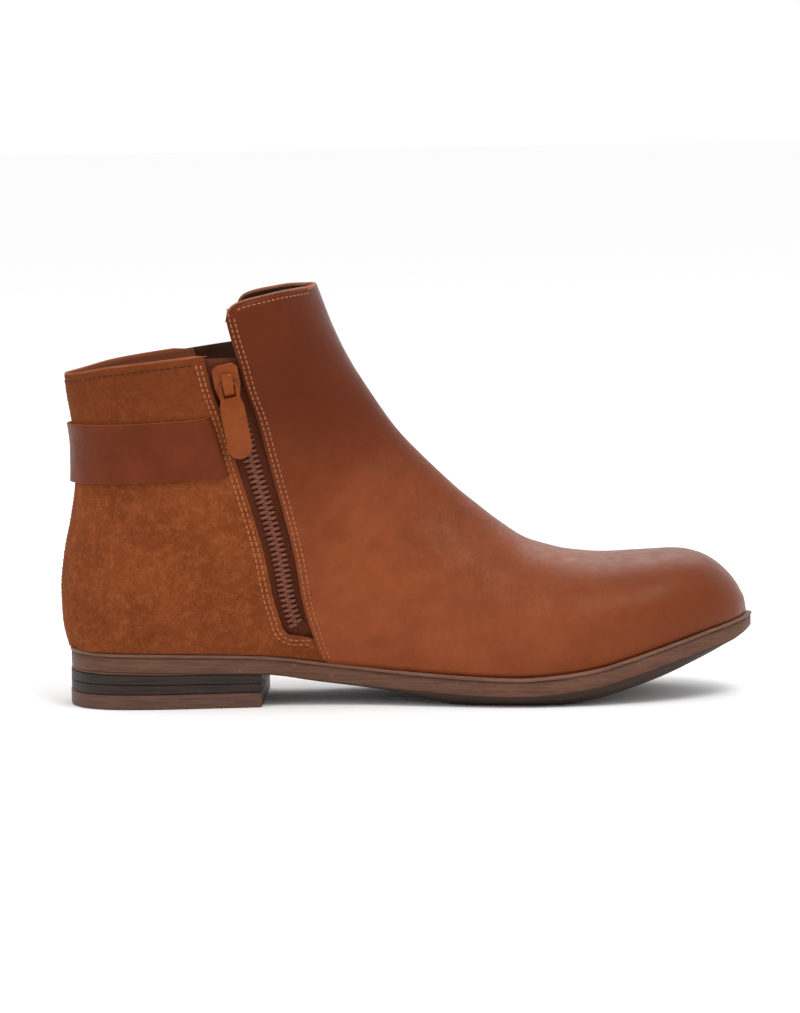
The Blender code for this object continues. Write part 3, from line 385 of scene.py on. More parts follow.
class Last:
    """The outer surface of the upper, as many close sections between those of the table."""

    STEPS = 14

    def __init__(self):
        count = len(SECTIONS)
        table = [(i,) + row for i, row in enumerate(SECTIONS)]
        place = np.linspace(0, count - 1, (count - 1) * self.STEPS + 1)
        foot, foot_rise, ridge, medial, lateral, widest, roundness = (
            smooth_curve(table, column)(place) for column in range(1, 8))
        self.foot = np.column_stack([foot * SOLE_LENGTH,
                                     seat_height(foot * SOLE_LENGTH) - EDGE_SPARE
                                     + foot_rise * SHAFT_RISE])
        ridge_along = ridge * SOLE_LENGTH
        self.ridge = np.column_stack([ridge_along, seat_height(ridge_along) + GAP
                                      + RIDGE_SHARE(ridge) * SHAFT_RISE])
        self.reach = self.ridge - self.foot
        self.widest = widest
        self.roundness = roundness
        is_open = (foot_rise <= 0) & (foot > SECTIONS[FIRST_CLOSED][0])
        self.closed = ~is_open
        self.feather = np.array([np.where(is_open, width(foot * SOLE_LENGTH), 0)
                                 for width in feather_widths()])
        self.greatest = np.maximum(np.array([medial, lateral]) * BALL_WIDTH, self.feather)
        blend = np.clip(foot / HEEL_BLEND, 0, 1)
        self.fill = 0.5 + 0.5 * blend * blend * (3 - 2 * blend)

    def section_width(self, row, side, share):
        """Half widths at shares of the way up the sections."""
        low, high, widest = self.feather[side, row], self.greatest[side, row], self.widest[row]
        below = np.clip(share / widest, 0, 1)
        above = np.clip((share - widest) / (1 - widest), 0, 1)
        lower = low + (high - low) * (1 - (1 - below) ** 2) ** self.fill[row]
        upper = high * (1 - above ** self.roundness[row]) ** (1 / self.roundness[row])
        return np.where(share < widest, lower, upper)

    def width(self, along, height, side):
        """Half widths of the upper at places seen from the side."""
        along, height = np.broadcast_arrays(np.asarray(along, float), np.asarray(height, float))
        flat = np.column_stack([along.ravel(), height.ravel()])
        found = np.empty(len(flat))
        for start in range(0, len(flat), 3000):
            part = flat[start:start + 3000]
            away = part[:, None, :] - self.foot[None]
            turn = self.reach[:, 0] * away[..., 1] - self.reach[:, 1] * away[..., 0]
            change = (turn[:, :-1] > 0) & (turn[:, 1:] <= 0)
            has = change.any(axis=1)
            row = np.where(has, change.argmax(axis=1), turn.shape[1] - 2)
            index = np.arange(len(part))
            near, far = turn[index, row], turn[index, row + 1]
            blend = np.where(has, near / np.where(near - far == 0, 1, near - far), 1.0)
            ends = []
            for each in (row, row + 1):
                reach = self.reach[each]
                share = np.sum((part - self.foot[each]) * reach, axis=1) / np.sum(reach * reach, axis=1)
                ends.append(self.section_width(each, side, np.clip(share, 0, 1)))
            found[start:start + 3000] = ends[0] + blend * (ends[1] - ends[0])
        return found.reshape(along.shape)

    def surface(self, along, height, side, outward=0.0, reach=0.0012):
        """Points and outward normals of the upper at places seen from the side."""
        along, height = np.broadcast_arrays(np.asarray(along, float), np.asarray(height, float))
        sign = 1.0 if side else -1.0
        middle = self.width(along, height, side)
        by_along = (self.width(along + reach, height, side)
                    - self.width(along - reach, height, side)) / (2 * reach)
        by_height = (self.width(along, height + reach, side)
                     - self.width(along, height - reach, side)) / (2 * reach)
        normal = np.stack([-by_along, np.full(along.shape, sign), -by_height], axis=-1)
        normal /= np.linalg.norm(normal, axis=-1)[..., None]
        points = np.stack([along, sign * middle, height], axis=-1)
        return points + np.asarray(outward)[..., None] * normal, normal

    def back_along(self, height):
        """The back edge of the boot at these heights."""
        rows = self.foot[self.closed]
        order = np.argsort(rows[:, 1])
        return np.interp(height, rows[order, 1], rows[order, 0])

    def contour(self, height, reach=0.45 * SOLE_LENGTH):
        """Level outline from the medial side round the back to the lateral, with arc lengths."""
        start = float(self.back_along(height))
        places = start + reach * np.linspace(0, 1, 120)[1:] ** 1.8
        sides = [np.column_stack([places, (1 if side else -1) * self.width(places, height, side)])
                 for side in (0, 1)]
        line = np.vstack([sides[0][::-1], [(start, 0.0)], sides[1]])
        arcs = np.concatenate([[0], np.cumsum(np.linalg.norm(np.diff(line, axis=0), axis=1))])
        return arcs - arcs[len(sides[0])], line


class Wrap:
    """Places on the upper by arc length from the back seam, height and distance outward."""

    def __init__(self, last, low, high, count=15):
        self.heights = np.linspace(low, high, count)
        self.arcs = SOLE_LENGTH * np.linspace(-0.376, 0.444, 437)
        lines = [last.contour(height) for height in self.heights]
        self.grid = np.array([np.column_stack([np.interp(self.arcs, arcs, line[:, 0]),
                                               np.interp(self.arcs, arcs, line[:, 1]),
                                               np.full(len(self.arcs), height)])
                              for height, (arcs, line) in zip(self.heights, lines)])
        normal = -np.cross(np.gradient(self.grid, axis=1), np.gradient(self.grid, axis=0))
        self.normal = normal / np.linalg.norm(normal, axis=2)[:, :, None]

    def lookup(self, values, arc, height):
        """Values between those of the grid's four nearest places."""
        i = np.clip((arc - self.arcs[0]) / (self.arcs[1] - self.arcs[0]), 0, len(self.arcs) - 1.001)
        j = np.clip((height - self.heights[0]) / (self.heights[1] - self.heights[0]),
                    0, len(self.heights) - 1.001)
        a, b = i.astype(int), j.astype(int)
        s, t = (i - a)[..., None], (j - b)[..., None]
        return ((1 - t) * ((1 - s) * values[b, a] + s * values[b, a + 1])
                + t * ((1 - s) * values[b + 1, a] + s * values[b + 1, a + 1]))

    def zip_side_arc(self, along, height):
        """Arc length of the place on the zip side at this along."""
        row = self.grid[np.argmin(np.abs(self.heights - height))]
        near = (self.arcs < 0) & (row[:, 0] < np.max(row[:, 0]))
        order = np.argsort(row[near, 0])
        return float(np.interp(along, row[near, 0][order], self.arcs[near][order]))

    def point(self, arc, height, outward):
        """Places at distances outward from the upper."""
        arc, height, outward = np.broadcast_arrays(np.asarray(arc, float), np.asarray(height, float),
                                                   np.asarray(outward, float))
        normal = self.lookup(self.normal, arc, height)
        normal /= np.linalg.norm(normal, axis=-1)[..., None]
        return self.lookup(self.grid, arc, height) + outward[..., None] * normal


def strap_height(arc):
    """Height of the strap's middle at this arc length from the back seam."""
    return rise_to_height(STRAP_RISE + STRAP_CLIMB * (arc / STRAP_CLIMB_ARC) ** 2)


def linear(red, green, blue):
    """A screen colour of 0 to 255 as linear light."""
    values = [c / 255 for c in (red, green, blue)]
    return tuple(c / 12.92 if c <= 0.04045 else ((c + 0.055) / 1.055) ** 2.4 for c in values) + (1.0,)


class Look:
    """A procedural material that is built node by node."""

    def __init__(self, name):
        self.material = bpy.data.materials.new(name)
        self.material.use_nodes = True
        self.tree = self.material.node_tree
        self.shader = self.tree.nodes["Principled BSDF"]
        self.place = self.add("ShaderNodeTexCoord").outputs["Object"]

    def add(self, kind, inputs=None, **settings):
        node = self.tree.nodes.new(kind)
        for key, value in settings.items():
            setattr(node, key, value)
        for key, value in (inputs or {}).items():
            self.put(node.inputs[key], value)
        return node

    def put(self, target, value):
        if isinstance(value, bpy.types.NodeSocket):
            self.tree.links.new(value, target)
        else:
            target.default_value = value

    def set(self, **inputs):
        for key, value in inputs.items():
            self.put(self.shader.inputs[key.replace("_", " ")], value)

    def stretched(self, scale, turn=(0, 0, 0)):
        return self.add("ShaderNodeMapping", {"Vector": self.place, "Scale": scale,
                                              "Rotation": turn}).outputs["Vector"]

    def noise(self, scale, detail=4.0, roughness=0.55, vector=None):
        return self.add("ShaderNodeTexNoise", {"Vector": vector or self.place, "Scale": scale,
                                               "Detail": detail, "Roughness": roughness}).outputs["Fac"]

    def cells(self, scale):
        return self.add("ShaderNodeTexVoronoi", {"Vector": self.place, "Scale": scale}).outputs["Distance"]

    def ramp(self, value, low, high, start=0.0, end=1.0):
        node = self.add("ShaderNodeMapRange", {"Value": value, "From Min": low, "From Max": high,
                                               "To Min": start, "To Max": end})
        node.interpolation_type = "SMOOTHSTEP"
        return node.outputs["Result"]

    def math(self, operation, a, b=0.0):
        node = self.add("ShaderNodeMath", operation=operation)
        self.put(node.inputs[0], a)
        self.put(node.inputs[1], b)
        return node.outputs[0]

    def mix(self, share, a, b, blend="MIX"):
        node = self.add("ShaderNodeMix", data_type="RGBA", blend_type=blend)
        self.put(node.inputs[0], share)
        self.put(node.inputs[6], a)
        self.put(node.inputs[7], b)
        return node.outputs[2]

    def axis(self, name):
        return self.add("ShaderNodeSeparateXYZ", {"Vector": self.place}).outputs[name]

    def bump(self, height, strength, distance, normal=None):
        inputs = {"Height": height, "Strength": strength, "Distance": distance}
        if normal:
            inputs["Normal"] = normal
        return self.add("ShaderNodeBump", inputs).outputs["Normal"]


WARM_GLOSS = (1.0, 0.74, 0.52, 1.0)    # tint of the highlights on dyed leather and paint


def panel_leather():
    """Smooth tan leather, darker up the shaft, with fine grain and a soft gloss."""
    look = Look("panel_leather_look")
    clouds = look.ramp(look.noise(22, 4), 0.30, 0.72)
    mottle = look.ramp(look.noise(170, 6, 0.65), 0.36, 0.68)
    color = look.mix(clouds, linear(106, 50, 26), linear(130, 64, 36))
    color = look.mix(look.math("MULTIPLY", mottle, 0.22), color, linear(148, 78, 45))
    toe = look.ramp(look.axis("X"), 0.070, 0.190)
    color = look.mix(look.math("MULTIPLY", toe, 0.35), color, linear(118, 59, 34))
    tip = look.math("MULTIPLY", look.ramp(look.axis("X"), 0.155, 0.222), 0.75)
    color = look.mix(tip, color, linear(96, 44, 24))
    shaft = look.ramp(look.axis("Z"), 0.055, 0.120)
    color = look.mix(look.math("MULTIPLY", shaft, 0.85), color, linear(76, 28, 12))
    pores = look.cells(1500)
    grain = look.math("ADD", look.math("MULTIPLY", pores, 0.6), look.noise(900, 3))
    fine = look.bump(grain, 0.20, 0.0003)
    folds = look.noise(75, 4, 0.5, look.stretched((1.3, 0.6, 0.9), (0, 0.5, 0)))
    normal = look.bump(folds, 0.08, 0.0010, fine)
    ball = look.math("MULTIPLY", look.ramp(look.axis("X"), 0.050, 0.105),
                     look.ramp(look.axis("X"), 0.175, 0.130))
    wrinkles = look.noise(330, 4, 0.6, look.stretched((1.5, 0.5, 0.55), (0, 0.75, 0)))
    normal = look.bump(look.math("MULTIPLY", wrinkles, ball), 0.42, 0.0009, normal)
    roughness = look.ramp(look.noise(180, 5), 0.3, 0.7, 0.30, 0.42)
    look.set(Base_Color=color, Roughness=roughness, Normal=normal, Specular_IOR_Level=0.13,
             Specular_Tint=WARM_GLOSS)
    return look.material


def suede():
    """Brushed suede: patches where the nap lies another way, over short fibres."""
    look = Look("suede_look")
    patches = look.ramp(look.noise(38, 4, 0.6), 0.34, 0.68)
    nap = look.noise(300, 6, 0.72)
    fibres = look.noise(1500, 4, 0.75)
    color = look.mix(patches, linear(112, 55, 26), linear(128, 65, 33))
    color = look.mix(look.math("MULTIPLY", look.ramp(nap, 0.42, 0.70), 0.60), color, linear(152, 84, 45))
    color = look.mix(look.ramp(fibres, 0.36, 0.62, 0.45, 0.0), color, linear(78, 36, 17))
    collar = look.ramp(look.axis("Z"), 0.100, 0.122)
    color = look.mix(look.math("MULTIPLY", collar, 0.55), color, linear(96, 46, 22))
    normal = look.bump(look.math("ADD", fibres, look.math("MULTIPLY", nap, 0.8)), 0.5, 0.0006)
    look.set(Base_Color=color, Roughness=0.95, Normal=normal, Sheen_Weight=0.12,
             Sheen_Roughness=0.45, Sheen_Tint=linear(196, 122, 76), Specular_IOR_Level=0.06)
    return look.material


def lining(name, low, high, band=None):
    """Cloth lining, and a leather band along the collar where a colour is given for it."""
    look = Look(name)
    color = look.mix(look.ramp(look.noise(150, 4), 0.3, 0.7), low, high)
    if band:
        color = look.mix(look.ramp(look.axis("Z"), 0.1175, 0.1185), color, band)
    weave = look.cells(1600)
    look.set(Base_Color=color, Roughness=0.85, Normal=look.bump(weave, 0.25, 0.0003),
             Specular_IOR_Level=0.1)
    return look.material


def plain_leather(name, low, high, roughness=0.45):
    """Leather of one colour with a fine grain."""
    look = Look(name)
    color = look.mix(look.ramp(look.noise(65, 5, 0.6), 0.28, 0.74), low, high)
    grain = look.math("ADD", look.math("MULTIPLY", look.cells(1700), 0.5), look.noise(700, 4))
    look.set(Base_Color=color, Roughness=look.ramp(look.noise(240, 4), 0.3, 0.7, roughness - 0.06,
                                                   roughness + 0.08),
             Normal=look.bump(grain, 0.20, 0.0003), Specular_IOR_Level=0.12, Specular_Tint=WARM_GLOSS)
    return look.material


def raw_edge(name, color, lighter):
    """The cut, fibrous edge of leather."""
    look = Look(name)
    fibres = look.noise(900, 5, 0.7)
    look.set(Base_Color=look.mix(look.ramp(fibres, 0.3, 0.7), color, lighter), Roughness=0.85,
             Normal=look.bump(fibres, 0.4, 0.0004), Specular_IOR_Level=0.1)
    return look.material


def sole_rubber(name, low, high, scratch, roughness=0.55):
    """Moulded rubber made to look like layered leather: fine level streaks and light scuffs."""
    look = Look(name)
    streaks = look.noise(130, 5, 0.66, look.stretched((0.55, 0.55, 7.0)))
    color = look.mix(look.ramp(streaks, 0.28, 0.72), low, high)
    spots = look.ramp(look.noise(420, 5, 0.7), 0.60, 0.72)
    color = look.mix(look.math("MULTIPLY", spots, 0.5), color, scratch)
    height = look.math("ADD", streaks, look.math("MULTIPLY", look.noise(600, 4), 0.5))
    look.set(Base_Color=color, Roughness=look.ramp(streaks, 0.3, 0.7, roughness - 0.08,
                                                   roughness + 0.1),
             Normal=look.bump(height, 0.28, 0.0005), Specular_IOR_Level=0.2)
    return look.material


def brass():
    """Worn antique brass."""
    look = Look("antique_brass_look")
    wear = look.ramp(look.noise(260, 5, 0.6), 0.28, 0.74)
    color = look.mix(wear, linear(138, 107, 61), linear(192, 158, 100))
    look.set(Base_Color=color, Metallic=1.0, Roughness=look.ramp(wear, 0.0, 1.0, 0.42, 0.24),
             Normal=look.bump(look.noise(900, 4), 0.12, 0.0002))
    return look.material


def painted(name, low, high):
    """Glossy paint on metal."""
    look = Look(name)
    color = look.mix(look.ramp(look.noise(200, 4), 0.3, 0.7), low, high)
    look.set(Base_Color=color, Roughness=0.22, Specular_IOR_Level=0.30, Specular_Tint=WARM_GLOSS,
             Normal=look.bump(look.noise(1100, 3), 0.06, 0.0002))
    return look.material


def woven(name, low, high):
    """Woven tape."""
    look = Look(name)
    threads = look.add("ShaderNodeTexWave", {"Vector": look.stretched((1, 1, 1), (0, 0.3, 0)),
                                             "Scale": 420.0, "Distortion": 1.0, "Detail": 2.0})
    height = threads.outputs["Fac"]
    look.set(Base_Color=look.mix(look.ramp(height, 0.2, 0.8), low, high), Roughness=0.85,
             Normal=look.bump(height, 0.5, 0.0003), Specular_IOR_Level=0.2)
    return look.material


def thread(name, low, high):
    """Twisted thread, and the nylon of the coil."""
    look = Look(name)
    twist = look.noise(1800, 3)
    look.set(Base_Color=look.mix(look.ramp(twist, 0.35, 0.65), low, high), Roughness=0.6,
             Normal=look.bump(twist, 0.3, 0.0002), Specular_IOR_Level=0.2)
    return look.material


def new_piece(name, vertices, faces, materials, body="boot", nodes=(), slot=None,
              merge=SMALLEST_EDGE):
    """A mesh piece in the row frame that rides on a body and stands for its CAD nodes."""
    vertices = np.asarray(vertices, float).reshape(-1, 3) - (HEEL_LENGTH / 2, 0, 0)
    mesh = bpy.data.meshes.new(name)
    mesh.from_pydata([tuple(v) for v in vertices], [], [tuple(int(i) for i in f) for f in faces])
    for material in materials:
        mesh.materials.append(material)
    if merge:
        work = bmesh.new()
        work.from_mesh(mesh)
        bmesh.ops.remove_doubles(work, verts=work.verts, dist=merge)
        bmesh.ops.dissolve_degenerate(work, edges=work.edges, dist=merge)
        bmesh.ops.recalc_face_normals(work, faces=work.faces)
        work.to_mesh(mesh)
        work.free()
    mesh.polygons.foreach_set("use_smooth", [True] * len(mesh.polygons))
    item = bpy.data.objects.new(name, mesh)
    bpy.context.scene.collection.objects.link(item)
    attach(item, body)
    if nodes:
        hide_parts(*nodes)
    return item


def outward_faces(item, reference):
    """Turn an open sheet so that its faces look away from a point inside."""
    mesh = item.data
    work = bmesh.new()
    work.from_mesh(mesh)
    reference = Vector(reference)
    total = sum(face.normal.dot(face.calc_center_median() - reference) for face in work.faces)
    if total < 0:
        bmesh.ops.reverse_faces(work, faces=work.faces)
    work.to_mesh(mesh)
    work.free()


def add_wall(item, thickness, offset, inner=0, rim=0):
    """Give a sheet a wall, with other materials inside and on the rim."""
    solidify = item.modifiers.new("wall", "SOLIDIFY")
    solidify.thickness = thickness
    solidify.offset = offset
    solidify.material_offset = inner
    solidify.material_offset_rim = rim


def add_bevel(item, width, segments=3, angle=35):
    """Round the sharp edges of a piece."""
    bevel = item.modifiers.new("bevel", "BEVEL")
    bevel.width = width
    bevel.segments = segments
    bevel.limit_method = "ANGLE"
    bevel.angle_limit = math.radians(angle)


def grid_faces(rows, columns, close_rows=False, keep=None):
    """Quads of a grid of points that is stored row after row."""
    faces = []
    for i in range(rows if close_rows else rows - 1):
        below, above = i * columns, (i + 1) % rows * columns
        for j in range(columns - 1):
            if keep is None or keep(i, j):
                faces.append((below + j, below + j + 1, above + j + 1, above + j))
    return faces


# along_a, height_a, along_b, height_b, depth, reach: creases of the vamp and ankle seen from the
# side, from start to end. A depth below zero stands over the surface.
CREASES = (
    (0.133, 0.086, 0.110, 0.069, 0.00015, 0.0080),
    (0.147, 0.074, 0.128, 0.058, 0.00022, 0.0065),
    (0.163, 0.064, 0.151, 0.042, 0.00025, 0.0060),
    (0.178, 0.058, 0.170, 0.038, 0.00020, 0.0052),
    (0.192, 0.055, 0.187, 0.034, 0.00015, 0.0050),
    (0.155, 0.069, 0.140, 0.050, -0.00015, 0.0060),
)


def crease_depth(along, height):
    """How far the creases lower the surface at these places."""
    total = np.zeros_like(along)
    for along_a, height_a, along_b, height_b, depth, reach in CREASES:
        run, climb = along_b - along_a, height_b - height_a
        share = ((along - along_a) * run + (height - height_a) * climb) / (run * run + climb * climb)
        held = np.clip(share, 0, 1)
        away = np.hypot(along - along_a - held * run, height - height_a - held * climb)
        total += depth * np.exp(-(away / reach) ** 2)
    return total


def ridge_line(last):
    """Evenly spaced places on the front edge from the toe tip to the panel's top."""
    top = float(np.interp(0, (last.ridge[:, 1] - panel_top_height(last.ridge[:, 0])),
                          np.arange(len(last.ridge))))
    low = int(top)
    end = last.ridge[low] + (top - low) * (last.ridge[low + 1] - last.ridge[low])
    line = np.vstack([last.ridge[:low + 1], end])
    arcs = np.concatenate([[0], np.cumsum(np.linalg.norm(np.diff(line, axis=0), axis=1))])
    even = np.linspace(0, arcs[-1], PANEL_ROWS)
    return np.column_stack([np.interp(even, arcs, line[:, axis]) for axis in (0, 1)]), even


def along_line(points, share):
    """Points at shares of the length of a polyline."""
    points = np.asarray(points, float)
    arcs = np.concatenate([[0], np.cumsum(np.linalg.norm(np.diff(points, axis=0), axis=1))])
    return np.column_stack([np.interp(share * arcs[-1], arcs, points[:, axis]) for axis in (0, 1)])


def panel_side(last, ridge, arcs, side):
    """Side-view places of one half of the front panel, rows from toe to top, edge to ridge."""
    foot_of = np.interp(-ridge[:, 0], -last.ridge[:, 0], last.foot[:, 0])
    seam_foot = next(a for a in np.linspace(0.105, 0.085, 400)
                     if a <= seam_along(side, float(seat_height(a)) + GAP))
    on_sole = foot_of >= seam_foot
    split = int(np.nonzero(on_sole)[0][-1]) + 1
    shares = np.linspace(0, 1, PANEL_COLUMNS + 1)
    spread = 1 - (1 - shares) ** 2
    edge = np.zeros_like(ridge)
    edge[:split, 0] = foot_of[:split]
    edge[:split, 1] = seat_height(foot_of[:split]) + GAP
    places = np.zeros((PANEL_ROWS, PANEL_COLUMNS + 1, 2))
    if side == 0:
        heights = np.linspace(float(seat_height(seam_foot)) + GAP,
                              float(panel_top_height(COLLAR_CORNER)), 80)
        seam = np.column_stack([seam_along(0, heights), heights])
        seam[-1, 0] = min(seam[-1, 0], COLLAR_CORNER + 0.001)
        edge[split:] = along_line(seam, (arcs[split:] - arcs[split - 1]) / (arcs[-1] - arcs[split - 1]))
        places[:] = edge[:, None] + spread[None, :, None] * (ridge - edge)[:, None]
        return places, PANEL_ROWS
    wing_height = float(collar_height(LATERAL_SEAM_AT_COLLAR))
    heights = np.linspace(float(seat_height(seam_foot)) + GAP, wing_height, 80)
    seam = np.column_stack([seam_along(1, heights), heights])
    wing = seam[-1]
    # The row that leaves the collar's corner on its way to the ridge
    slope = (float(collar_height(COLLAR_CORNER)) - wing[1]) / (COLLAR_CORNER - wing[0])
    meets = ridge[:, 1] - (wing[1] + slope * (ridge[:, 0] - wing[0]))
    wing_row = int(np.nonzero(meets > 0)[0][0])
    steps = (arcs[split:wing_row + 1] - arcs[split - 1]) / (arcs[wing_row] - arcs[split - 1])
    edge[split:wing_row + 1] = along_line(seam, steps)
    low = slice(0, wing_row + 1)
    places[low] = edge[low, None] + spread[None, :, None] * (ridge[low] - edge[low])[:, None]
    start = places[wing_row, WING_COLUMN]
    rear = np.array([start, (COLLAR_CORNER - 0.0004, float(panel_top_height(COLLAR_CORNER)))])
    steps = (arcs[wing_row + 1:] - arcs[wing_row]) / (arcs[-1] - arcs[wing_row])
    rear = along_line(rear, steps)
    rest = (spread - spread[WING_COLUMN]) / (1 - spread[WING_COLUMN])
    high = slice(wing_row + 1, PANEL_ROWS)
    places[high] = rear[:, None] + rest[None, :, None] * (ridge[high] - rear)[:, None]
    places[high, :WING_COLUMN] = places[high, WING_COLUMN:WING_COLUMN + 1]
    return places, wing_row


def bend_to_top(places, first):
    """Bend the upper rows so that the last one is the panel's top edge."""
    start = int(0.86 * PANEL_ROWS)
    last_row = places[-1, first:]
    lift = panel_top_height(last_row[:, 0]) - last_row[:, 1]
    for row in range(start, PANEL_ROWS):
        places[row, first:, 1] += lift * float(ease((row - start) / (PANEL_ROWS - 1 - start)))
    return places


def build_panel(last, materials):
    """The front panel: vamp and high shaft front in one piece of smooth leather."""
    ridge, arcs = ridge_line(last)
    halves = []
    for side in (0, 1):
        places, wing_row = panel_side(last, ridge, arcs, side)
        places = bend_to_top(places, 0 if side == 0 else WING_COLUMN)
        along, height = places[..., 0], places[..., 1]
        lowered = PANEL_STEP - crease_depth(along, height)
        lowered[0] = 0
        points, _ = last.surface(along, height, side, lowered)
        points[:, -1, 0], points[:, -1, 1], points[:, -1, 2] = along[:, -1], 0, height[:, -1]
        halves.append((points, wing_row))
    medial, lateral = halves[0][0], halves[1][0]
    top = medial[:, -1].copy()
    normal = np.gradient(top, axis=0)[:, [2, 1, 0]] * (1, 0, -1)
    normal /= np.linalg.norm(normal, axis=1)[:, None]
    if normal[len(normal) // 2, 2] < 0:
        normal = -normal
    lowered = PANEL_STEP - crease_depth(top[:, 0], top[:, 2])
    top += normal * lowered[:, None]
    grid = np.concatenate([medial[:, :-1], top[:, None], lateral[:, -2::-1]], axis=1)
    columns = grid.shape[1]
    wing_row, last_wing = halves[1][1], columns - 1 - WING_COLUMN

    def keep(row, column):
        return not (row >= wing_row and column >= last_wing)

    panel = new_piece("front_panel", grid, grid_faces(PANEL_ROWS, columns, keep=keep), materials,
                      nodes=("upper",), slot="panel_leather")
    outward_faces(panel, (0.06, 0, 0.05))
    add_wall(panel, WALL, -1, inner=1, rim=2)


def smoothed(points, rounds):
    """A grid of points with small ripples evened out, and its four edges kept."""
    points = points.copy()
    for _ in range(rounds):
        around = (points[1:-1, :-2] + points[1:-1, 2:] + points[:-2, 1:-1] + points[2:, 1:-1]) / 4
        points[1:-1, 1:-1] += 0.5 * (around - points[1:-1, 1:-1])
    return points


def quarter_edges(height):
    """Rear edge of the slot or of the panel on the medial side, and of the panel on the lateral."""
    foot_height = rise_to_height(SLOT_BOTTOM_RISE)
    radius = slot_width(foot_height) / 2
    middle = seam_along(0, foot_height) - radius
    depth = np.clip((foot_height - height) / radius, 0, 1)
    rounded = middle - radius * np.sqrt(1 - depth ** 2)
    slot_edge = seam_along(0, height) - slot_width(height)
    medial = np.where(height > foot_height, slot_edge,
                      np.where(height > foot_height - radius, rounded,
                               seam_along(0, height) + 0.002))
    return medial, seam_along(1, height) + 0.002


def build_quarter(last, materials):
    """The suede quarters round the heel, from the zip slot to the panel's edge on the other side."""
    foot_height = rise_to_height(SLOT_BOTTOM_RISE)
    radius = float(slot_width(foot_height)) / 2
    span = 0.1175
    heights = np.concatenate([np.linspace(0, foot_height - radius - 0.0185, 12)[:-1],
                              np.linspace(foot_height - radius - 0.0185, foot_height - 0.0175, 26)[:-1],
                              np.linspace(foot_height - 0.0175, span, 90)])
    shares = heights / span
    turns = np.linspace(-1, 1, 181)
    spread = np.abs(turns) ** 1.7
    side = (turns > 0).astype(int)
    along = np.zeros((len(shares), len(turns)))
    for _ in range(14):
        low = seat_height(along) + GAP
        height = low + shares[:, None] * (collar_height(along) - low)
        edges = quarter_edges(height)
        edge = np.where(side[None], edges[1], edges[0])
        back = last.back_along(height)
        target = back + (edge - back) * spread[None]
        along = 0.35 * along + 0.65 * target
    points = np.zeros(along.shape + (3,))
    for each in (0, 1):
        pick = side == each
        points[:, pick] = last.surface(along[:, pick], height[:, pick], each)[0]
    middle = len(turns) // 2
    points[:, middle] = np.column_stack([along[:, middle], np.zeros(len(shares)), height[:, middle]])
    points = smoothed(points, 24)
    points[..., 0] += BACK_SEAM_DEPTH * np.exp(-(points[..., 1] / BACK_SEAM_REACH) ** 2)
    quarter = new_piece("suede_quarters", points, grid_faces(*along.shape), materials,
                        nodes=("upper",), slot="panel_leather")
    outward_faces(quarter, (0.01, 0, 0.07))
    add_wall(quarter, WALL, -1, inner=1, rim=2)


def bar_faces(base, rings, sides, cyclic=False):
    """Faces of a round bar whose rings of points start at base, with end caps unless it closes."""
    faces = []
    for i in range(rings if cyclic else rings - 1):
        for j in range(sides):
            a, b = base + i * sides + j, base + i * sides + (j + 1) % sides
            c, d = (base + (i + 1) % rings * sides + j,
                    base + (i + 1) % rings * sides + (j + 1) % sides)
            faces.append((a, b, d, c))
    if not cyclic:
        faces.append(tuple(base + j for j in range(sides))[::-1])
        faces.append(tuple(base + (rings - 1) * sides + j for j in range(sides)))
    return faces


def stitch_mesh(name, lines, material, length=0.0015, pitch=0.0021, radius=0.00028):
    """Rows of separate stitches, each a small rounded bar, along lines of (points, normals)."""
    vertices, faces = [], []
    profile = ((0.0, 0.25), (0.12, 0.8), (0.5, 1.0), (0.88, 0.8), (1.0, 0.25))
    for points, normals in lines:
        arcs = np.concatenate([[0], np.cumsum(np.linalg.norm(np.diff(points, axis=0), axis=1))])
        count = max(1, int(arcs[-1] / pitch))
        for k in range(count):
            starts = np.array([k * pitch + 0.0004, k * pitch + 0.0004 + length])
            ends = np.column_stack([np.interp(starts, arcs, points[:, a]) for a in range(3)])
            normal = np.array([np.interp(starts.mean(), arcs, normals[:, a]) for a in range(3)])
            tangent = ends[1] - ends[0]
            if np.linalg.norm(tangent) < 1e-6:
                continue
            tangent /= np.linalg.norm(tangent)
            side = np.cross(normal, tangent)
            side /= np.linalg.norm(side)
            upward = np.cross(tangent, side)
            base = len(vertices)
            for share, size in profile:
                center = ends[0] + share * (ends[1] - ends[0])
                for turn in np.linspace(0, 2 * math.pi, BAR_SIDES, endpoint=False):
                    vertices.append(center + radius * size * (math.cos(turn) * side * 1.15
                                                              + math.sin(turn) * upward * 0.9))
            faces += bar_faces(base, len(profile), BAR_SIDES)
    new_piece(name, vertices, faces, [material], merge=0)


def surface_line(last, along, height, side, outward):
    """A line of points on the upper with their normals, for stitches."""
    return last.surface(np.asarray(along, float), np.asarray(height, float), side, outward)


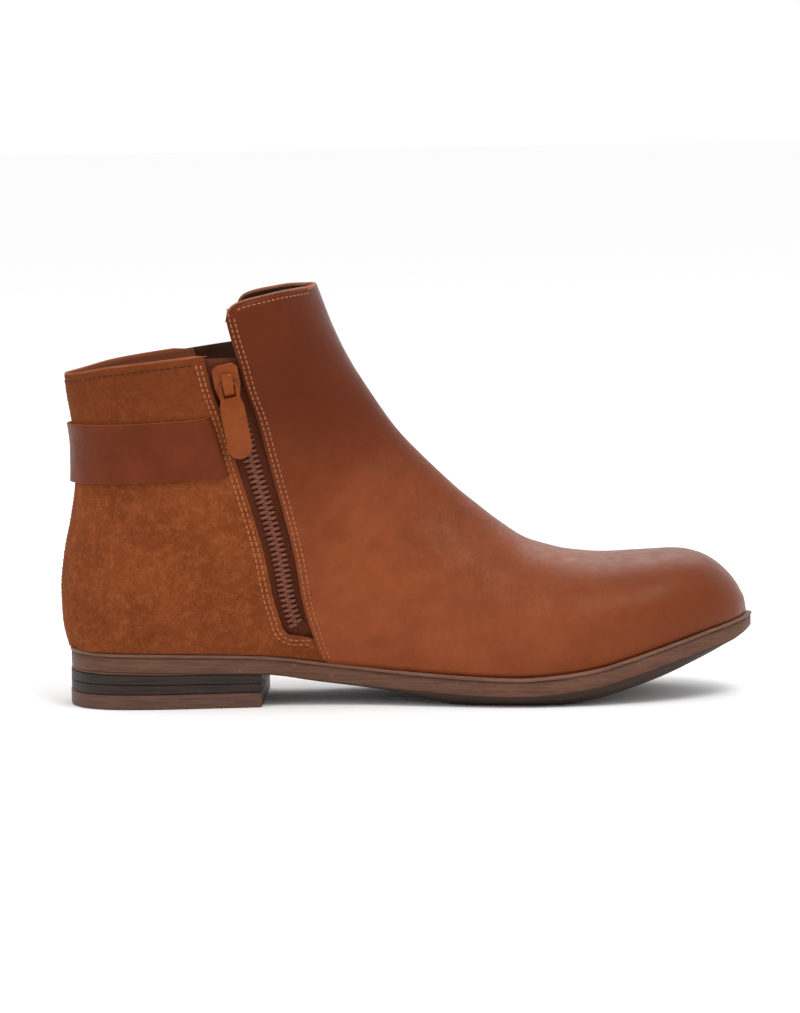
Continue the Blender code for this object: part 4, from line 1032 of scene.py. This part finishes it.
def build_stitches(last, tan, dark):
    """Every visible row of stitching."""
    lines = []
    over_panel = PANEL_STEP + 0.00005
    low = float(seat_height(0.0985)) + 0.0012
    for inset, top in ((0.0014, 0.958), (0.0032, 0.938)):
        heights = np.linspace(low, rise_to_height(top), 130)
        lines.append(surface_line(last, seam_along(0, heights) + inset, heights, 0, over_panel))
    places = np.linspace(0.0700, 0.0965, 60)
    for side in (0, 1):
        lines.append(surface_line(last, places, panel_top_height(places) - 0.0022, side, over_panel))
    low = float(seat_height(0.092)) + 0.0012
    heights = np.linspace(low, rise_to_height(0.80), 120)
    for inset in (0.0018, 0.0044):
        lines.append(surface_line(last, seam_along(1, heights) + inset, heights, 1, over_panel))
    stitch_mesh("panel_stitches", lines, tan)

    lines = []
    foot_height = rise_to_height(SLOT_BOTTOM_RISE)
    for inset in (0.0019, 0.0037):
        heights = np.linspace(rise_to_height(0.800), foot_height, 110)
        radius = float(slot_width(foot_height)) / 2 + inset
        middle = float(slot_middle(foot_height))
        turns = np.linspace(math.pi, 1.5 * math.pi, 14)[1:]
        bottom = foot_height - radius
        to_panel = np.linspace(middle, float(seam_along(0, bottom)) - 0.0003, 8)[1:]
        along = np.concatenate([seam_along(0, heights) - slot_width(heights) - inset,
                                middle + radius * np.cos(turns), to_panel])
        height = np.concatenate([heights, foot_height + radius * np.sin(turns),
                                 np.full(len(to_panel), bottom)])
        lines.append(surface_line(last, along, height, 0, 0.00005))
    stitch_mesh("zip_edge_stitches", lines, tan, length=0.0017, pitch=0.0023, radius=0.00036)

    halves = []
    for side, end in ((0, 0.0525), (1, 0.041)):
        places = last.back_along(0.128) + 0.00002 + end * np.linspace(0, 1, 140) ** 2.6
        halves.append(surface_line(last, places, collar_height(places) - 0.0026, side, 0.00002))
    lines = [[np.vstack([near[::-1], far]) for near, far in zip(*halves)]]
    stitch_mesh("collar_stitches", lines, dark, length=0.0020, pitch=0.0027, radius=0.00024)

    heights = np.arange(float(seat_height(0.0)) + 0.002, float(collar_height(0.0)) - 0.002, 0.0016)
    swing = 0.0010 * (-1.0) ** np.arange(len(heights))
    back = last.back_along(heights) + BACK_SEAM_DEPTH * np.exp(-(swing / BACK_SEAM_REACH) ** 2) + 0.00008
    zigzag = np.column_stack([back, swing, heights])
    lines = [(zigzag[i:i + 2], np.tile((-1.0, 0.0, 0.0), (2, 1))) for i in range(len(zigzag) - 1)]
    stitch_mesh("back_seam_stitches", lines, dark, length=0.0019, pitch=0.0020, radius=0.00022)


def tube_piece(name, points, radii, material, cyclic=False, sides=12, **keys):
    """A round bar through points."""
    points = np.asarray(points, float)
    radii = np.broadcast_to(np.asarray(radii, float), (len(points),))
    if cyclic:
        tangents = np.roll(points, -1, axis=0) - np.roll(points, 1, axis=0)
    else:
        tangents = np.gradient(points, axis=0)
    tangents /= np.linalg.norm(tangents, axis=1)[:, None]
    side = np.cross(tangents[0], (0.3, 0.2, 1.0))
    vertices = []
    for point, tangent, radius in zip(points, tangents, radii):
        side = side - np.dot(side, tangent) * tangent
        side /= np.linalg.norm(side)
        other = np.cross(tangent, side)
        for turn in np.linspace(0, 2 * math.pi, sides, endpoint=False):
            vertices.append(point + radius * (math.cos(turn) * side + math.sin(turn) * other))
    faces = bar_faces(0, len(points), sides, cyclic)
    new_piece(name, vertices, faces, [material], merge=0, **keys)


def tapered(count, radius, rows=5):
    """Radii of a cord that thins out at both ends."""
    from_end = np.minimum(np.arange(count), np.arange(count)[::-1])
    return radius * (0.15 + 0.85 * ease(from_end / rows))


def build_edge_binding(last, material, panel_material):
    """The folded edge that runs round the topline, as a fine rolled cord on the wall."""
    inward = -WALL / 2
    spans = []
    for side, end in ((0, 0.0580), (1, 0.0440)):
        places = last.back_along(0.128) + 0.00005 + end * np.linspace(0, 1, 90) ** 1.8
        spans.append(surface_line(last, places, collar_height(places) + 0.0001, side, inward)[0])
    collar = np.vstack([spans[0][::-1], spans[1][1:]])
    tube_piece("collar_edge", collar, tapered(len(collar), COLLAR_CORD_RADIUS), material)
    places = np.concatenate([np.linspace(COLLAR_CORNER, 0.072, 20)[:-1],
                             np.linspace(0.072, 0.0955, 40)])
    spans = []
    for side in (0, 1):
        spans.append(surface_line(last, places, panel_top_height(places), side,
                                  PANEL_STEP + inward)[0])
    ridge = spans[0][-1] * (1, 0, 1) + (0.0033, 0, 0.0004)
    middle = (spans[0][-1] + spans[1][-1]) / 2
    half = abs(spans[0][-1][1])
    front = [middle + np.array([(ridge[0] - middle[0]) * math.sin(turn), -half * math.cos(turn),
                                (ridge[2] - middle[2]) * math.sin(turn)])
             for turn in math.pi * np.linspace(0, 1, 24)[1:-1]]
    top = np.vstack([spans[0], front, spans[1][::-1]])
    tube_piece("panel_edge", top, tapered(len(top), PANEL_CORD_RADIUS), panel_material)


def ladder_piece(name, rings, material, **keys):
    """A solid between rings that each hold a lateral and a medial row of equal length."""
    count = len(rings[0]) // 2
    loop = list(range(count)) + list(range(2 * count - 1, count - 1, -1))
    faces = []
    for level in range(len(rings) - 1):
        low, high = level * 2 * count, (level + 1) * 2 * count
        for a, b in zip(loop, loop[1:] + loop[:1]):
            faces.append((low + a, low + b, high + b, high + a))
    for base in (0, (len(rings) - 1) * 2 * count):
        for i in range(count - 1):
            faces.append((base + i, base + i + 1, base + count + i + 1, base + count + i))
    return new_piece(name, np.vstack(rings), faces, [material], **keys)


def height_less(base, drop):
    """A height function that lies below another by a fixed drop."""
    return lambda along: base(along) - drop


def side_floor(along):
    """Height where the outsole's upright side ends and its bevel starts."""
    return np.maximum(seat_height(along) - SIDE_HEIGHT, underside_height(along))


def bevel_middle(along):
    """Height of the ring halfway down the outsole's bevel."""
    return underside_height(along) + 0.62 * (side_floor(along) - underside_height(along))


def level_at(height):
    """A height function that is the same everywhere."""
    return lambda along: np.full(np.shape(along), height)


def stack_height(share):
    """Height in the heel's lifts, from the top piece at 0 to the outsole's underside at 1."""
    return lambda along: (
        TOP_PIECE_HEIGHT + share * (underside_height(along) - GAP - TOP_PIECE_HEIGHT))


def ring_at(stations, inset, height):
    """The sole's outline moved in by inset, at heights given by a function."""
    rows = [np.column_stack([side, height(side[:, 0])]) for side in outline_loop(stations, inset)]
    return np.vstack(rows)


def build_sole(edge, under, dark, brown, footbed, welt):
    """The outsole with its lip, the heel's lifts and the footbed; the outsole's downward faces get a darker
    material that is painted shade.
    """
    stations = sole_stations()
    past_heel = np.clip((stations - HEEL_LENGTH) / HEEL_LENGTH, 0, 1)
    bevel = 0.0005 + BEVEL_WIDTH * past_heel * np.clip((SOLE_LENGTH - stations) / 0.020, 0.35, 1)
    rings = [
        ring_at(stations, bevel, underside_height),
        ring_at(stations, LIP_DEPTH + 0.25 * (bevel - LIP_DEPTH), bevel_middle),
        ring_at(stations, LIP_DEPTH + 0.0003, side_floor),
        ring_at(stations, LIP_DEPTH, height_less(side_floor, -0.0005)),
        ring_at(stations, LIP_DEPTH, height_less(seat_height, LIP_HEIGHT)),
    ]
    side = ladder_piece("outsole_side", rings, edge, nodes=("outsole",), slot="outsole_edge")
    side.data.materials.append(under)
    # Painted shade: faces of the outsole's side that look down get the darker underside material, in place
    # of the shadow under the sole.
    for polygon in side.data.polygons:
        if polygon.normal.z < PAINTED_SHADE_TILT:
            polygon.material_index = 1
    rings = [
        ring_at(stations, LIP_DEPTH + 0.0002, height_less(seat_height, LIP_HEIGHT + 0.0001)),
        ring_at(stations, 0.00015, height_less(seat_height, LIP_HEIGHT)),
        ring_at(stations, 0.0, height_less(seat_height, LIP_HEIGHT - 0.0002)),
        ring_at(stations, 0.0, height_less(seat_height, 0.0003)),
        ring_at(stations, 0.0003, seat_height),
    ]
    ladder_piece("outsole_lip", rings, welt, nodes=("outsole",), slot="outsole_edge")

    stations = sole_stations(end=HEEL_LENGTH)
    # name, bottom, top, inset, material, node, slot
    pieces = (
        ("lift_upper", height_less(stack_height(0.5), -GAP), stack_height(1.0), 0.0002, dark,
         "heel_lift_upper", "heel_dark"),
        ("lift_lower", level_at(TOP_PIECE_HEIGHT + GAP), stack_height(0.5), 0.0002, dark,
         "heel_lift_lower", "heel_dark"),
        ("top_piece", level_at(0.0), level_at(TOP_PIECE_HEIGHT), 0.0, brown,
         "heel_top_piece", "heel_brown"),
    )
    for name, bottom, top, inset, material, node, slot in pieces:
        rings = [ring_at(stations, inset, bottom), ring_at(stations, inset, top)]
        piece = ladder_piece(name, rings, material, nodes=(node,), slot=slot)
        add_bevel(piece, 0.0004, 3, 50)

    stations = sole_stations(count=60)
    inset = ledge_width(stations) + WALL + INSOLE_CLEARANCE
    rings = [ring_at(stations, inset, height_less(seat_height, -GAP)),
             ring_at(stations, inset, height_less(seat_height, -GAP - INSOLE_THICKNESS + 0.0006)),
             ring_at(stations, inset + 0.0006, height_less(seat_height, -GAP - INSOLE_THICKNESS))]
    ladder_piece("footbed", rings, footbed, nodes=("insole",), slot="footbed")


def strap_layers():
    """Distances outward of the middles of the stacked straps and bars."""
    half = STRAP_THICKNESS / 2
    flat = GAP + half
    in_keeper = 2 * GAP + KEEPER_BAND + half
    rear_bar = flat + half + GAP + BAR_RADIUS
    fold = BAR_RADIUS + GAP + half
    over_fold = rear_bar + fold + half + GAP + half
    on_panel = flat + PANEL_STEP
    front_bar = on_panel + half + GAP + BAR_RADIUS
    billet_in_keeper = in_keeper + half + GAP + half
    return dict(flat=flat, in_keeper=in_keeper, rear_bar=rear_bar, fold=fold, over_fold=over_fold,
                on_panel=on_panel, front_bar=front_bar, billet_in_keeper=billet_in_keeper)


def back_strap_path(layers, zip_end):
    """From the zip seam round the heel, through the keeper and folded round the rear bar."""
    lift_start, lift_end = KEEPER_PLACE - 0.022, KEEPER_PLACE - 0.0045
    drop_start, drop_end = KEEPER_PLACE + 0.0035, REAR_BAR - 0.003
    arc = np.concatenate([np.linspace(zip_end, lift_start, 78),
                          np.linspace(lift_start, REAR_BAR, 50)[1:]])
    lifted = ease((arc - lift_start) / (lift_end - lift_start))
    dropped = ease((arc - drop_start) / (drop_end - drop_start))
    level = layers["flat"] + (lifted - dropped) * (layers["in_keeper"] - layers["flat"])
    turns = np.linspace(-math.pi / 2, math.pi / 2, 17)[1:]
    arc = np.concatenate([arc, REAR_BAR + layers["fold"] * np.cos(turns), [REAR_BAR - 0.003]])
    level = np.concatenate([level, layers["rear_bar"] + layers["fold"] * np.sin(turns),
                            [layers["rear_bar"] + layers["fold"]]])
    return arc, level


def front_strap_path(layers):
    """From the front panel under the front bar, over the rear one and through the keeper."""
    climb_start, climb_end = FRONT_BAR - 0.0055, REAR_BAR + 0.005
    drop_start, drop_end = REAR_BAR - 0.0035, KEEPER_PLACE + 0.004
    arc = np.concatenate([np.linspace(BILLET_END, climb_start, 50),
                          np.linspace(climb_start, BILLET_TIP, 90)[1:]])
    climbed = ease((climb_start - arc) / (climb_start - climb_end))
    dropped = ease((drop_start - arc) / (drop_start - drop_end))
    level = (layers["on_panel"] + climbed * (layers["over_fold"] - layers["on_panel"])
             - dropped * (layers["over_fold"] - layers["billet_in_keeper"]))
    return arc, level


def strap_piece(name, wrap, path, half_widths, slot_rows, slot_half, materials, node,
                tuck_lean=None):
    """A strap along its path, with its zip end leaned and tucked in where a lean is given."""
    arc, level = path
    shares = np.array([-1, -0.97, -0.8, -0.6, -0.4, 0.0, 0.0, 0.4, 0.6, 0.8, 0.97, 1])
    offsets = half_widths[:, None] * shares[None]
    inner = np.minimum(slot_half, 0.3 * half_widths)
    offsets[:, 5], offsets[:, 6] = -inner, inner
    arcs = np.broadcast_to(arc[:, None], offsets.shape).copy()
    if tuck_lean is not None:
        near_end = ease(1 - (arc - arc[0]) / 0.012)[:, None]
        arcs += near_end * (tuck_lean * offsets)
        level = level - STRAP_THICKNESS * 1.4 * ease(1 - (arc - arc[0]) / 0.0022)
    points = wrap.point(arcs, strap_height(arc)[:, None] + offsets, level[:, None])

    def keep(row, column):
        return not (column == 5 and slot_rows[0] <= row < slot_rows[1])

    faces = grid_faces(len(arc), len(shares), keep=keep)
    strap = new_piece(name, points, faces, materials, nodes=(node,), slot="strap_leather")
    add_wall(strap, STRAP_THICKNESS, 0, rim=1)
    add_bevel(strap, 0.0003, 2, 60)


def rounded_rectangle(half_x, half_y, radius, corner_steps=6):
    """Corner points of a rectangle with round corners."""
    points = []
    for turn, (x, y) in enumerate(((1, 1), (-1, 1), (-1, -1), (1, -1))):
        for step in range(corner_steps + 1):
            angle = math.pi / 2 * (turn + step / corner_steps)
            points.append((x * (half_x - radius) + radius * math.cos(angle),
                           y * (half_y - radius) + radius * math.sin(angle)))
    return points


def divided(loop, longest=0.004, steps=10):
    """A loop with its long sides cut in short steps, so that it can bend."""
    points = []
    for (x, y), (next_x, next_y) in zip(loop, loop[1:] + loop[:1]):
        count = steps if math.hypot(next_x - x, next_y - y) > longest else 1
        points += [(x + (next_x - x) * k / count, y + (next_y - y) * k / count) for k in range(count)]
    return points


def build_straps(last, leather, edge, metal, tan):
    """Both straps with the keeper, the buckle frame and its prong."""
    low = rise_to_height(STRAP_RISE) - 0.62 * FRAME_HEIGHT
    high = rise_to_height(STRAP_RISE + 1.6 * STRAP_CLIMB) + 0.62 * FRAME_HEIGHT
    wrap = Wrap(last, low, high)
    layers = strap_layers()

    level = strap_height(-STRAP_CLIMB_ARC)
    zip_end = wrap.zip_side_arc(slot_middle(level) - slot_width(level) / 2 - STRAP_TUCK, level)
    path = back_strap_path(layers, zip_end - 0.0012)
    rear_edges = [float(slot_middle(h) - slot_width(h) / 2) for h in (level - 0.005, level + 0.005)]
    tuck_lean = (rear_edges[0] - rear_edges[1]) / 0.010
    start = int(np.nonzero(path[0] > REAR_BAR - FOLD_REACH)[0][0])
    in_frame = FRAME_HEIGHT / 2 - BAR_RADIUS - FRAME_CORNER - 0.001
    past = np.arange(len(path[0])) >= start
    widths = np.where(past, in_frame, STRAP_WIDTH / 2)
    strap_piece("ankle_strap", wrap, path, widths, (start, len(path[0])), 0.0025, [leather, edge],
                "strap_back", tuck_lean)

    path = front_strap_path(layers)
    half = STRAP_WIDTH / 2
    from_tip = np.clip((path[0] - BILLET_TIP) / (0.8 * half), 0.02, 1)
    widths = half * np.sqrt(1 - (1 - from_tip) ** 2)
    hole = np.nonzero((path[0] > REAR_BAR + 0.0045) & (path[0] < FRONT_BAR - 0.008))[0]
    strap_piece("billet", wrap, path, widths, (hole[0], hole[-1]), PRONG_RADIUS + 0.0006,
                [leather, edge], "strap_front")
    arcs = np.linspace(BILLET_END - 0.002, FRONT_BAR + 0.006, 30)
    lines = []
    for share in (-1, 1):
        height = strap_height(arcs) + share * (half - 0.0022)
        top = wrap.point(arcs, height, layers["on_panel"] + STRAP_THICKNESS / 2 + 0.00005)
        base = wrap.point(arcs, height, layers["on_panel"])
        lines.append((top, (top - base) / np.linalg.norm(top - base, axis=1)[:, None]))
    stitch_mesh("billet_stitches", lines, tan)

    inner = GAP + KEEPER_BAND / 2
    outer = layers["billet_in_keeper"] + STRAP_THICKNESS / 2 + GAP + KEEPER_BAND / 2
    loop = divided(rounded_rectangle((outer - inner) / 2, (KEEPER_HEIGHT - KEEPER_BAND) / 2, 0.0012))
    middle = float(strap_height(KEEPER_PLACE))
    points = [wrap.point(KEEPER_PLACE + side * KEEPER_WIDTH / 2, middle + rise,
                         (outer + inner) / 2 + outward)
              for outward, rise in loop for side in (-1, -0.5, 0, 0.5, 1)]
    keeper = new_piece("keeper_loop", points, grid_faces(len(loop), 5, close_rows=True), [metal],
                       nodes=("strap_keeper",), slot="antique_brass")
    add_wall(keeper, KEEPER_BAND, 0)
    add_bevel(keeper, 0.00025, 3, 50)

    center = (REAR_BAR + FRONT_BAR) / 2
    middle = float(strap_height(center))
    outline = divided(rounded_rectangle((FRONT_BAR - REAR_BAR) / 2, FRAME_HEIGHT / 2 - BAR_RADIUS,
                                        FRAME_CORNER))

    def level(arc):
        share = (arc - REAR_BAR) / (FRONT_BAR - REAR_BAR)
        return layers["rear_bar"] + share * (layers["front_bar"] - layers["rear_bar"])

    points = [wrap.point(center + x, middle + y, level(center + x)) for x, y in outline]
    tube_piece("buckle", points, BAR_RADIUS, metal, cyclic=True, sides=16, nodes=("buckle_frame",),
               slot="antique_brass")

    hook = BAR_RADIUS + GAP / 2 + PRONG_RADIUS
    path = [(REAR_BAR + hook * math.cos(turn), layers["rear_bar"] + hook * math.sin(turn), PRONG_RADIUS)
            for turn in np.radians(np.linspace(-50, -270, 24))]
    over_front = layers["front_bar"] + BAR_RADIUS + GAP + PRONG_RADIUS
    base_level = path[-1][1]
    for share in np.linspace(0, 1, 12)[1:]:
        path.append((REAR_BAR + share * (FRONT_BAR - 0.0012 - REAR_BAR),
                     base_level + share * (over_front + 0.0004 - base_level), PRONG_RADIUS))
    ball_level = layers["front_bar"] + BAR_RADIUS + GAP + PRONG_BALL_RADIUS
    for turn in np.radians(np.linspace(150, 6, 14)):
        path.append((FRONT_BAR + 0.0012 + PRONG_BALL_RADIUS * math.cos(turn), ball_level,
                     PRONG_BALL_RADIUS * math.sin(turn)))
    points = [wrap.point(arc, strap_height(arc), outward) for arc, outward, _ in path]
    tube_piece("prong", points, [radius for _, _, radius in path], metal, sides=14,
               nodes=("buckle_prong",), slot="antique_brass")


def build_zip(last, tape_look, coil_look):
    """The zip's tape and coil behind the slot."""
    heights = np.linspace(rise_to_height(SLOT_BOTTOM_RISE) - 0.0085, rise_to_height(0.812), 60)
    reach = slot_width(heights) / 2 + TAPE_MARGIN
    shares = np.linspace(-1, 1, 13)
    along = slot_middle(heights)[:, None] + shares[None] * reach[:, None]
    depth = WALL + 2 * GAP + TAPE_THICKNESS / 2
    points, _ = last.surface(along, np.repeat(heights[:, None], 13, axis=1), 0, -depth)
    tape = new_piece("zip_cloth", points, grid_faces(60, 13), [tape_look], nodes=("zip_tape",),
                     slot="zip_fabric")
    add_wall(tape, TAPE_THICKNESS, 0)

    floor = -(WALL + GAP)
    low, high = rise_to_height(SLOT_BOTTOM_RISE) - 0.001, rise_to_height(SLIDER_RISE)
    lines = []
    sides = ((-1, 0.0), (1, 0.5))
    for side, phase in sides:
        count = int((high - low) / COIL_PITCH)
        centers = low + (np.arange(count) + phase) * COIL_PITCH
        slope = (slot_middle(centers + 0.001) - slot_middle(centers - 0.001)) / 0.002
        run = np.array([1.0, 1.0]) * COIL_WIDTH / 2
        for height, lean in zip(centers, slope):
            across = np.array([1.0, -lean]) / math.hypot(1.0, lean)
            spans = np.linspace(-0.30, 1.0, 5) * side * run[0]
            place, normal = last.surface(slot_middle(height) + spans * across[0],
                                         height + spans * across[1], 0,
                                         floor + 0.0004 + 0.0009 * np.array([0.6, 1.0, 1.0, 0.8, 0.1]))
            lines.append((place, normal))
    coil_mesh(lines, coil_look, 0.00068)


def coil_mesh(lines, material, radius):
    """The zip's coil: one rounded bar along each line, joined in one mesh."""
    vertices, faces = [], []
    for points, normals in lines:
        base = len(vertices)
        tangents = np.gradient(points, axis=0)
        for k, (point, tangent, normal) in enumerate(zip(points, tangents, normals)):
            tangent = tangent / np.linalg.norm(tangent)
            side = np.cross(normal, tangent)
            side /= np.linalg.norm(side)
            upward = np.cross(tangent, side)
            size = radius * (0.55 if k in (0, len(points) - 1) else 1.0)
            for turn in np.linspace(0, 2 * math.pi, BAR_SIDES, endpoint=False):
                vertices.append(point + size * (math.cos(turn) * side + math.sin(turn) * upward))
        faces += bar_faces(base, len(points), BAR_SIDES)
    new_piece("zip_coils", vertices, faces, [material], merge=0, nodes=("zip_teeth",),
              slot="zip_coil")


def axis_prism(name, outline, low, high, origin, axes, materials, **keys):
    """A prism over an outline in the plane of the first two axes, from low to high on the third."""
    vertices = [origin + p * axes[0] + q * axes[1] + r * axes[2] for r in (low, high) for p, q in outline]
    count = len(outline)
    faces = [tuple(range(count)), tuple(range(2 * count - 1, count - 1, -1))]
    faces += [(i, (i + 1) % count, count + (i + 1) % count, count + i) for i in range(count)]
    return new_piece(name, vertices, faces, materials, **keys)


def framed_prism(name, outer, hole, low, high, origin, axes, materials, **keys):
    """A prism with a hole: outer and hole are outlines with as many points each."""
    count = len(outer)
    corners = [(p, q, r) for r in (low, high) for p, q in list(outer) + list(hole)]
    vertices = [origin + p * axes[0] + q * axes[1] + r * axes[2] for p, q, r in corners]
    faces = []
    for i in range(count):
        j = (i + 1) % count
        faces.append((i, j, count + j, count + i))
        faces.append((2 * count + i, 2 * count + j, 3 * count + j, 3 * count + i))
        faces.append((i, j, 2 * count + j, 2 * count + i))
        faces.append((count + i, count + j, 3 * count + j, 3 * count + i))
    return new_piece(name, vertices, faces, materials, **keys)


def build_slider(last, paint):
    """The slider with its bridge, and the pull that hangs from it."""
    height = rise_to_height(SLIDER_RISE)
    along = float(slot_middle(height))
    place = last.surface(np.array([along]), np.array([height]), 0)[0][0]
    reach = 0.0015
    ahead = last.surface(np.array([along + reach]), np.array([height]), 0)[0][0]
    behind = last.surface(np.array([along - reach]), np.array([height]), 0)[0][0]
    above = last.surface(np.array([along]), np.array([height + reach]), 0)[0][0]
    under = last.surface(np.array([along]), np.array([height - reach]), 0)[0][0]
    forward = (ahead - behind) / np.linalg.norm(ahead - behind)
    upward = (above - under) / np.linalg.norm(above - under)
    outward = np.cross(forward, upward)
    outward /= np.linalg.norm(outward)
    down = math.sin(SLIDER_LEAN) * forward - math.cos(SLIDER_LEAN) * upward
    down -= np.dot(down, outward) * outward
    down /= np.linalg.norm(down)
    across = np.cross(down, outward)

    half, length = SLIDER_WIDTH / 2 - 0.0005, SLIDER_LENGTH / 2
    base = 0.0001
    top = base + SLIDER_THICKNESS
    outline = [(-length, -0.6 * half), (-0.8 * length, -half), (0.15 * length, -half),
               (length, -0.72 * half), (length, 0.72 * half), (0.15 * length, half),
               (-0.8 * length, half), (-length, 0.6 * half)]
    body = axis_prism("slider_body", outline, base, top, place, (down, across, outward), [paint],
                      nodes=("zip_slider",), slot="slider_paint")
    add_bevel(body, 0.0004)
    room = PULL_THICKNESS
    pivot_level = top + room
    low, over = pivot_level + room, pivot_level + room + BRIDGE_THICKNESS
    inner = 0.0033
    outer = inner + BRIDGE_THICKNESS
    root = top - 0.0005
    arch = [(-outer, root), (-outer, low), (-inner, over), (inner, over), (outer, low),
            (outer, root), (inner, root), (inner, low - 0.0005), (inner - 0.0005, low),
            (0.0005 - inner, low), (-inner, low - 0.0005), (-inner, root)]
    bridge = axis_prism("slider_bridge", arch, -BRIDGE_WIDTH / 2, BRIDGE_WIDTH / 2, place,
                        (down, outward, across), [paint], nodes=("zip_slider",), slot="slider_paint")
    add_bevel(bridge, 0.00035)

    pivot = place + pivot_level * outward
    hang = math.cos(PULL_TILT) * down + math.sin(PULL_TILT) * outward
    face = np.cross(across, hang)
    bar = PULL_THICKNESS / 2
    rail = BRIDGE_WIDTH / 2 + 0.0019
    wide = PULL_WIDTH / 2
    end = PULL_LENGTH - bar
    waist = 0.0062
    upper_side = [(-bar, q) for q in np.linspace(rail - 0.0008, -rail + 0.0008, 4)]
    tip = [(end - wide + wide * math.sin(turn), -wide * math.cos(turn))
           for turn in np.linspace(0, math.pi, 17)]
    left = [(-bar + 0.0008, -rail), (waist, -rail), (0.0085, -wide)]
    outer_loop = left + tip + [(p, -q) for p, q in reversed(left)] + upper_side
    slot_half = rail - 0.0015
    hole_end = 0.0052
    hole_loop = []
    for p, q in outer_loop:
        hole_loop.append((min(max(p, bar), hole_end), min(max(q, -slot_half), slot_half)))
    pull = framed_prism("pull_tab", outer_loop, hole_loop, -bar, bar, pivot, (hang, across, face),
                        [paint], body="zip_pull", nodes=("zip_pull",), slot="slider_paint")
    add_bevel(pull, 0.0003)


def build_stage():
    """Pale floor, soft lamps and the camera."""
    look = Look("floor_look")
    look.set(Base_Color=(0.97, 0.97, 0.97, 1.0), Roughness=0.9, Specular_IOR_Level=0.1)
    reach = 6.0
    mesh = bpy.data.meshes.new("floor")
    mesh.from_pydata([(x, y, -0.0002) for x, y in ((-reach, -reach), (reach, -reach),
                                                   (reach, reach), (-reach, reach))], [], [(0, 1, 2, 3)])
    mesh.materials.append(look.material)
    floor = bpy.data.objects.new("floor", mesh)
    bpy.context.scene.collection.objects.link(floor)

    world = bpy.data.worlds.new("studio")
    world.use_nodes = True
    world.node_tree.nodes["Background"].inputs["Color"].default_value = (1.0, 1.0, 1.0, 1.0)
    world.node_tree.nodes["Background"].inputs["Strength"].default_value = 1.0
    bpy.context.scene.world = world

    lamps = (
        ("key", (0.60, -0.70, 1.50), (0.12, 0, 0.05), 0.7, 11.0),
        ("fill", (-0.95, -0.95, 0.80), (0.05, 0, 0.07), 0.9, 2.5),
        ("back", (0.25, 1.05, 1.10), (0.08, 0, 0.08), 0.8, 4.0),
    )
    for name, place, aim, size, power in lamps:
        data = bpy.data.lights.new(name, "AREA")
        data.shape = "SQUARE"
        data.size = size
        data.energy = power
        lamp = bpy.data.objects.new(name, data)
        lamp.location = place
        lamp.rotation_euler = (Vector(aim) - Vector(place)).to_track_quat("-Z", "Y").to_euler()
        bpy.context.scene.collection.objects.link(lamp)

    camera_data = bpy.data.cameras.new("camera")
    camera_data.lens = 210
    camera_data.sensor_width = 36
    camera = bpy.data.objects.new("camera", camera_data)
    aim = Vector((0.092, 0.0, 0.074))
    azimuth, elevation, distance = math.radians(2.0), math.radians(5.5), 2.3
    away = Vector((math.sin(azimuth) * math.cos(elevation), -math.cos(azimuth) * math.cos(elevation),
                   math.sin(elevation)))
    camera.location = aim + distance * away
    level_view = (-away).to_track_quat("-Z", "Y")
    camera.rotation_euler = (Quaternion(away, CAMERA_ROLL) @ level_view).to_euler()
    bpy.context.scene.collection.objects.link(camera)
    bpy.context.scene.camera = camera
    bpy.context.scene.view_settings.view_transform = "Standard"


def main():
    last = Last()
    leather = panel_leather()
    nap = suede()
    collar_lining = lining("collar_lining_look", linear(52, 30, 20), linear(66, 38, 26), linear(112, 62, 40))
    panel_lining = lining("panel_lining_look", linear(44, 24, 14), linear(56, 31, 18))
    quarter_fold = plain_leather("quarter_fold_look", linear(118, 62, 36), linear(142, 80, 50), 0.7)
    panel_fold = plain_leather("panel_fold_look", linear(118, 66, 44), linear(146, 90, 64), 0.5)
    panel_rim = raw_edge("panel_rim_look", linear(92, 46, 26), linear(122, 66, 40))
    strap = plain_leather("strap_look", linear(88, 37, 18), linear(102, 45, 24), 0.44)
    strap_edge = raw_edge("strap_edge_look", linear(126, 66, 30), linear(156, 88, 44))
    tan = thread("tan_thread_look", linear(138, 78, 48), linear(166, 102, 66))
    dark = thread("dark_thread_look", linear(52, 24, 13), linear(72, 36, 20))

    build_panel(last, [leather, panel_lining, panel_rim])
    build_quarter(last, [nap, collar_lining, panel_rim])
    build_edge_binding(last, quarter_fold, panel_fold)
    build_stitches(last, tan, dark)
    build_sole(sole_rubber("sole_side_look", linear(79, 50, 37), linear(101, 68, 51), linear(136, 99, 77)),
               # The underside's darker colours are painted shade for the shadow under the sole.
               sole_rubber("underside_painted_shade_look", linear(46, 31, 25), linear(62, 43, 34), linear(84, 62, 50)),
               sole_rubber("dark_lift_look", linear(34, 26, 23), linear(52, 41, 36), linear(80, 66, 58)),
               sole_rubber("top_piece_look", linear(74, 50, 40), linear(94, 66, 54), linear(122, 92, 74)),
               plain_leather("footbed_look", linear(82, 50, 34), linear(100, 64, 44), 0.6),
               sole_rubber("welt_look", linear(92, 62, 48), linear(118, 84, 68), linear(146, 110, 90)))
    build_straps(last, strap, strap_edge, brass(), tan)
    build_zip(last, woven("tape_look", linear(74, 33, 17), linear(108, 51, 27)),
              thread("coil_look", linear(92, 50, 38), linear(124, 72, 56)))
    build_slider(last, painted("paint_look", linear(112, 47, 12), linear(126, 56, 16)))
    build_stage()


main()
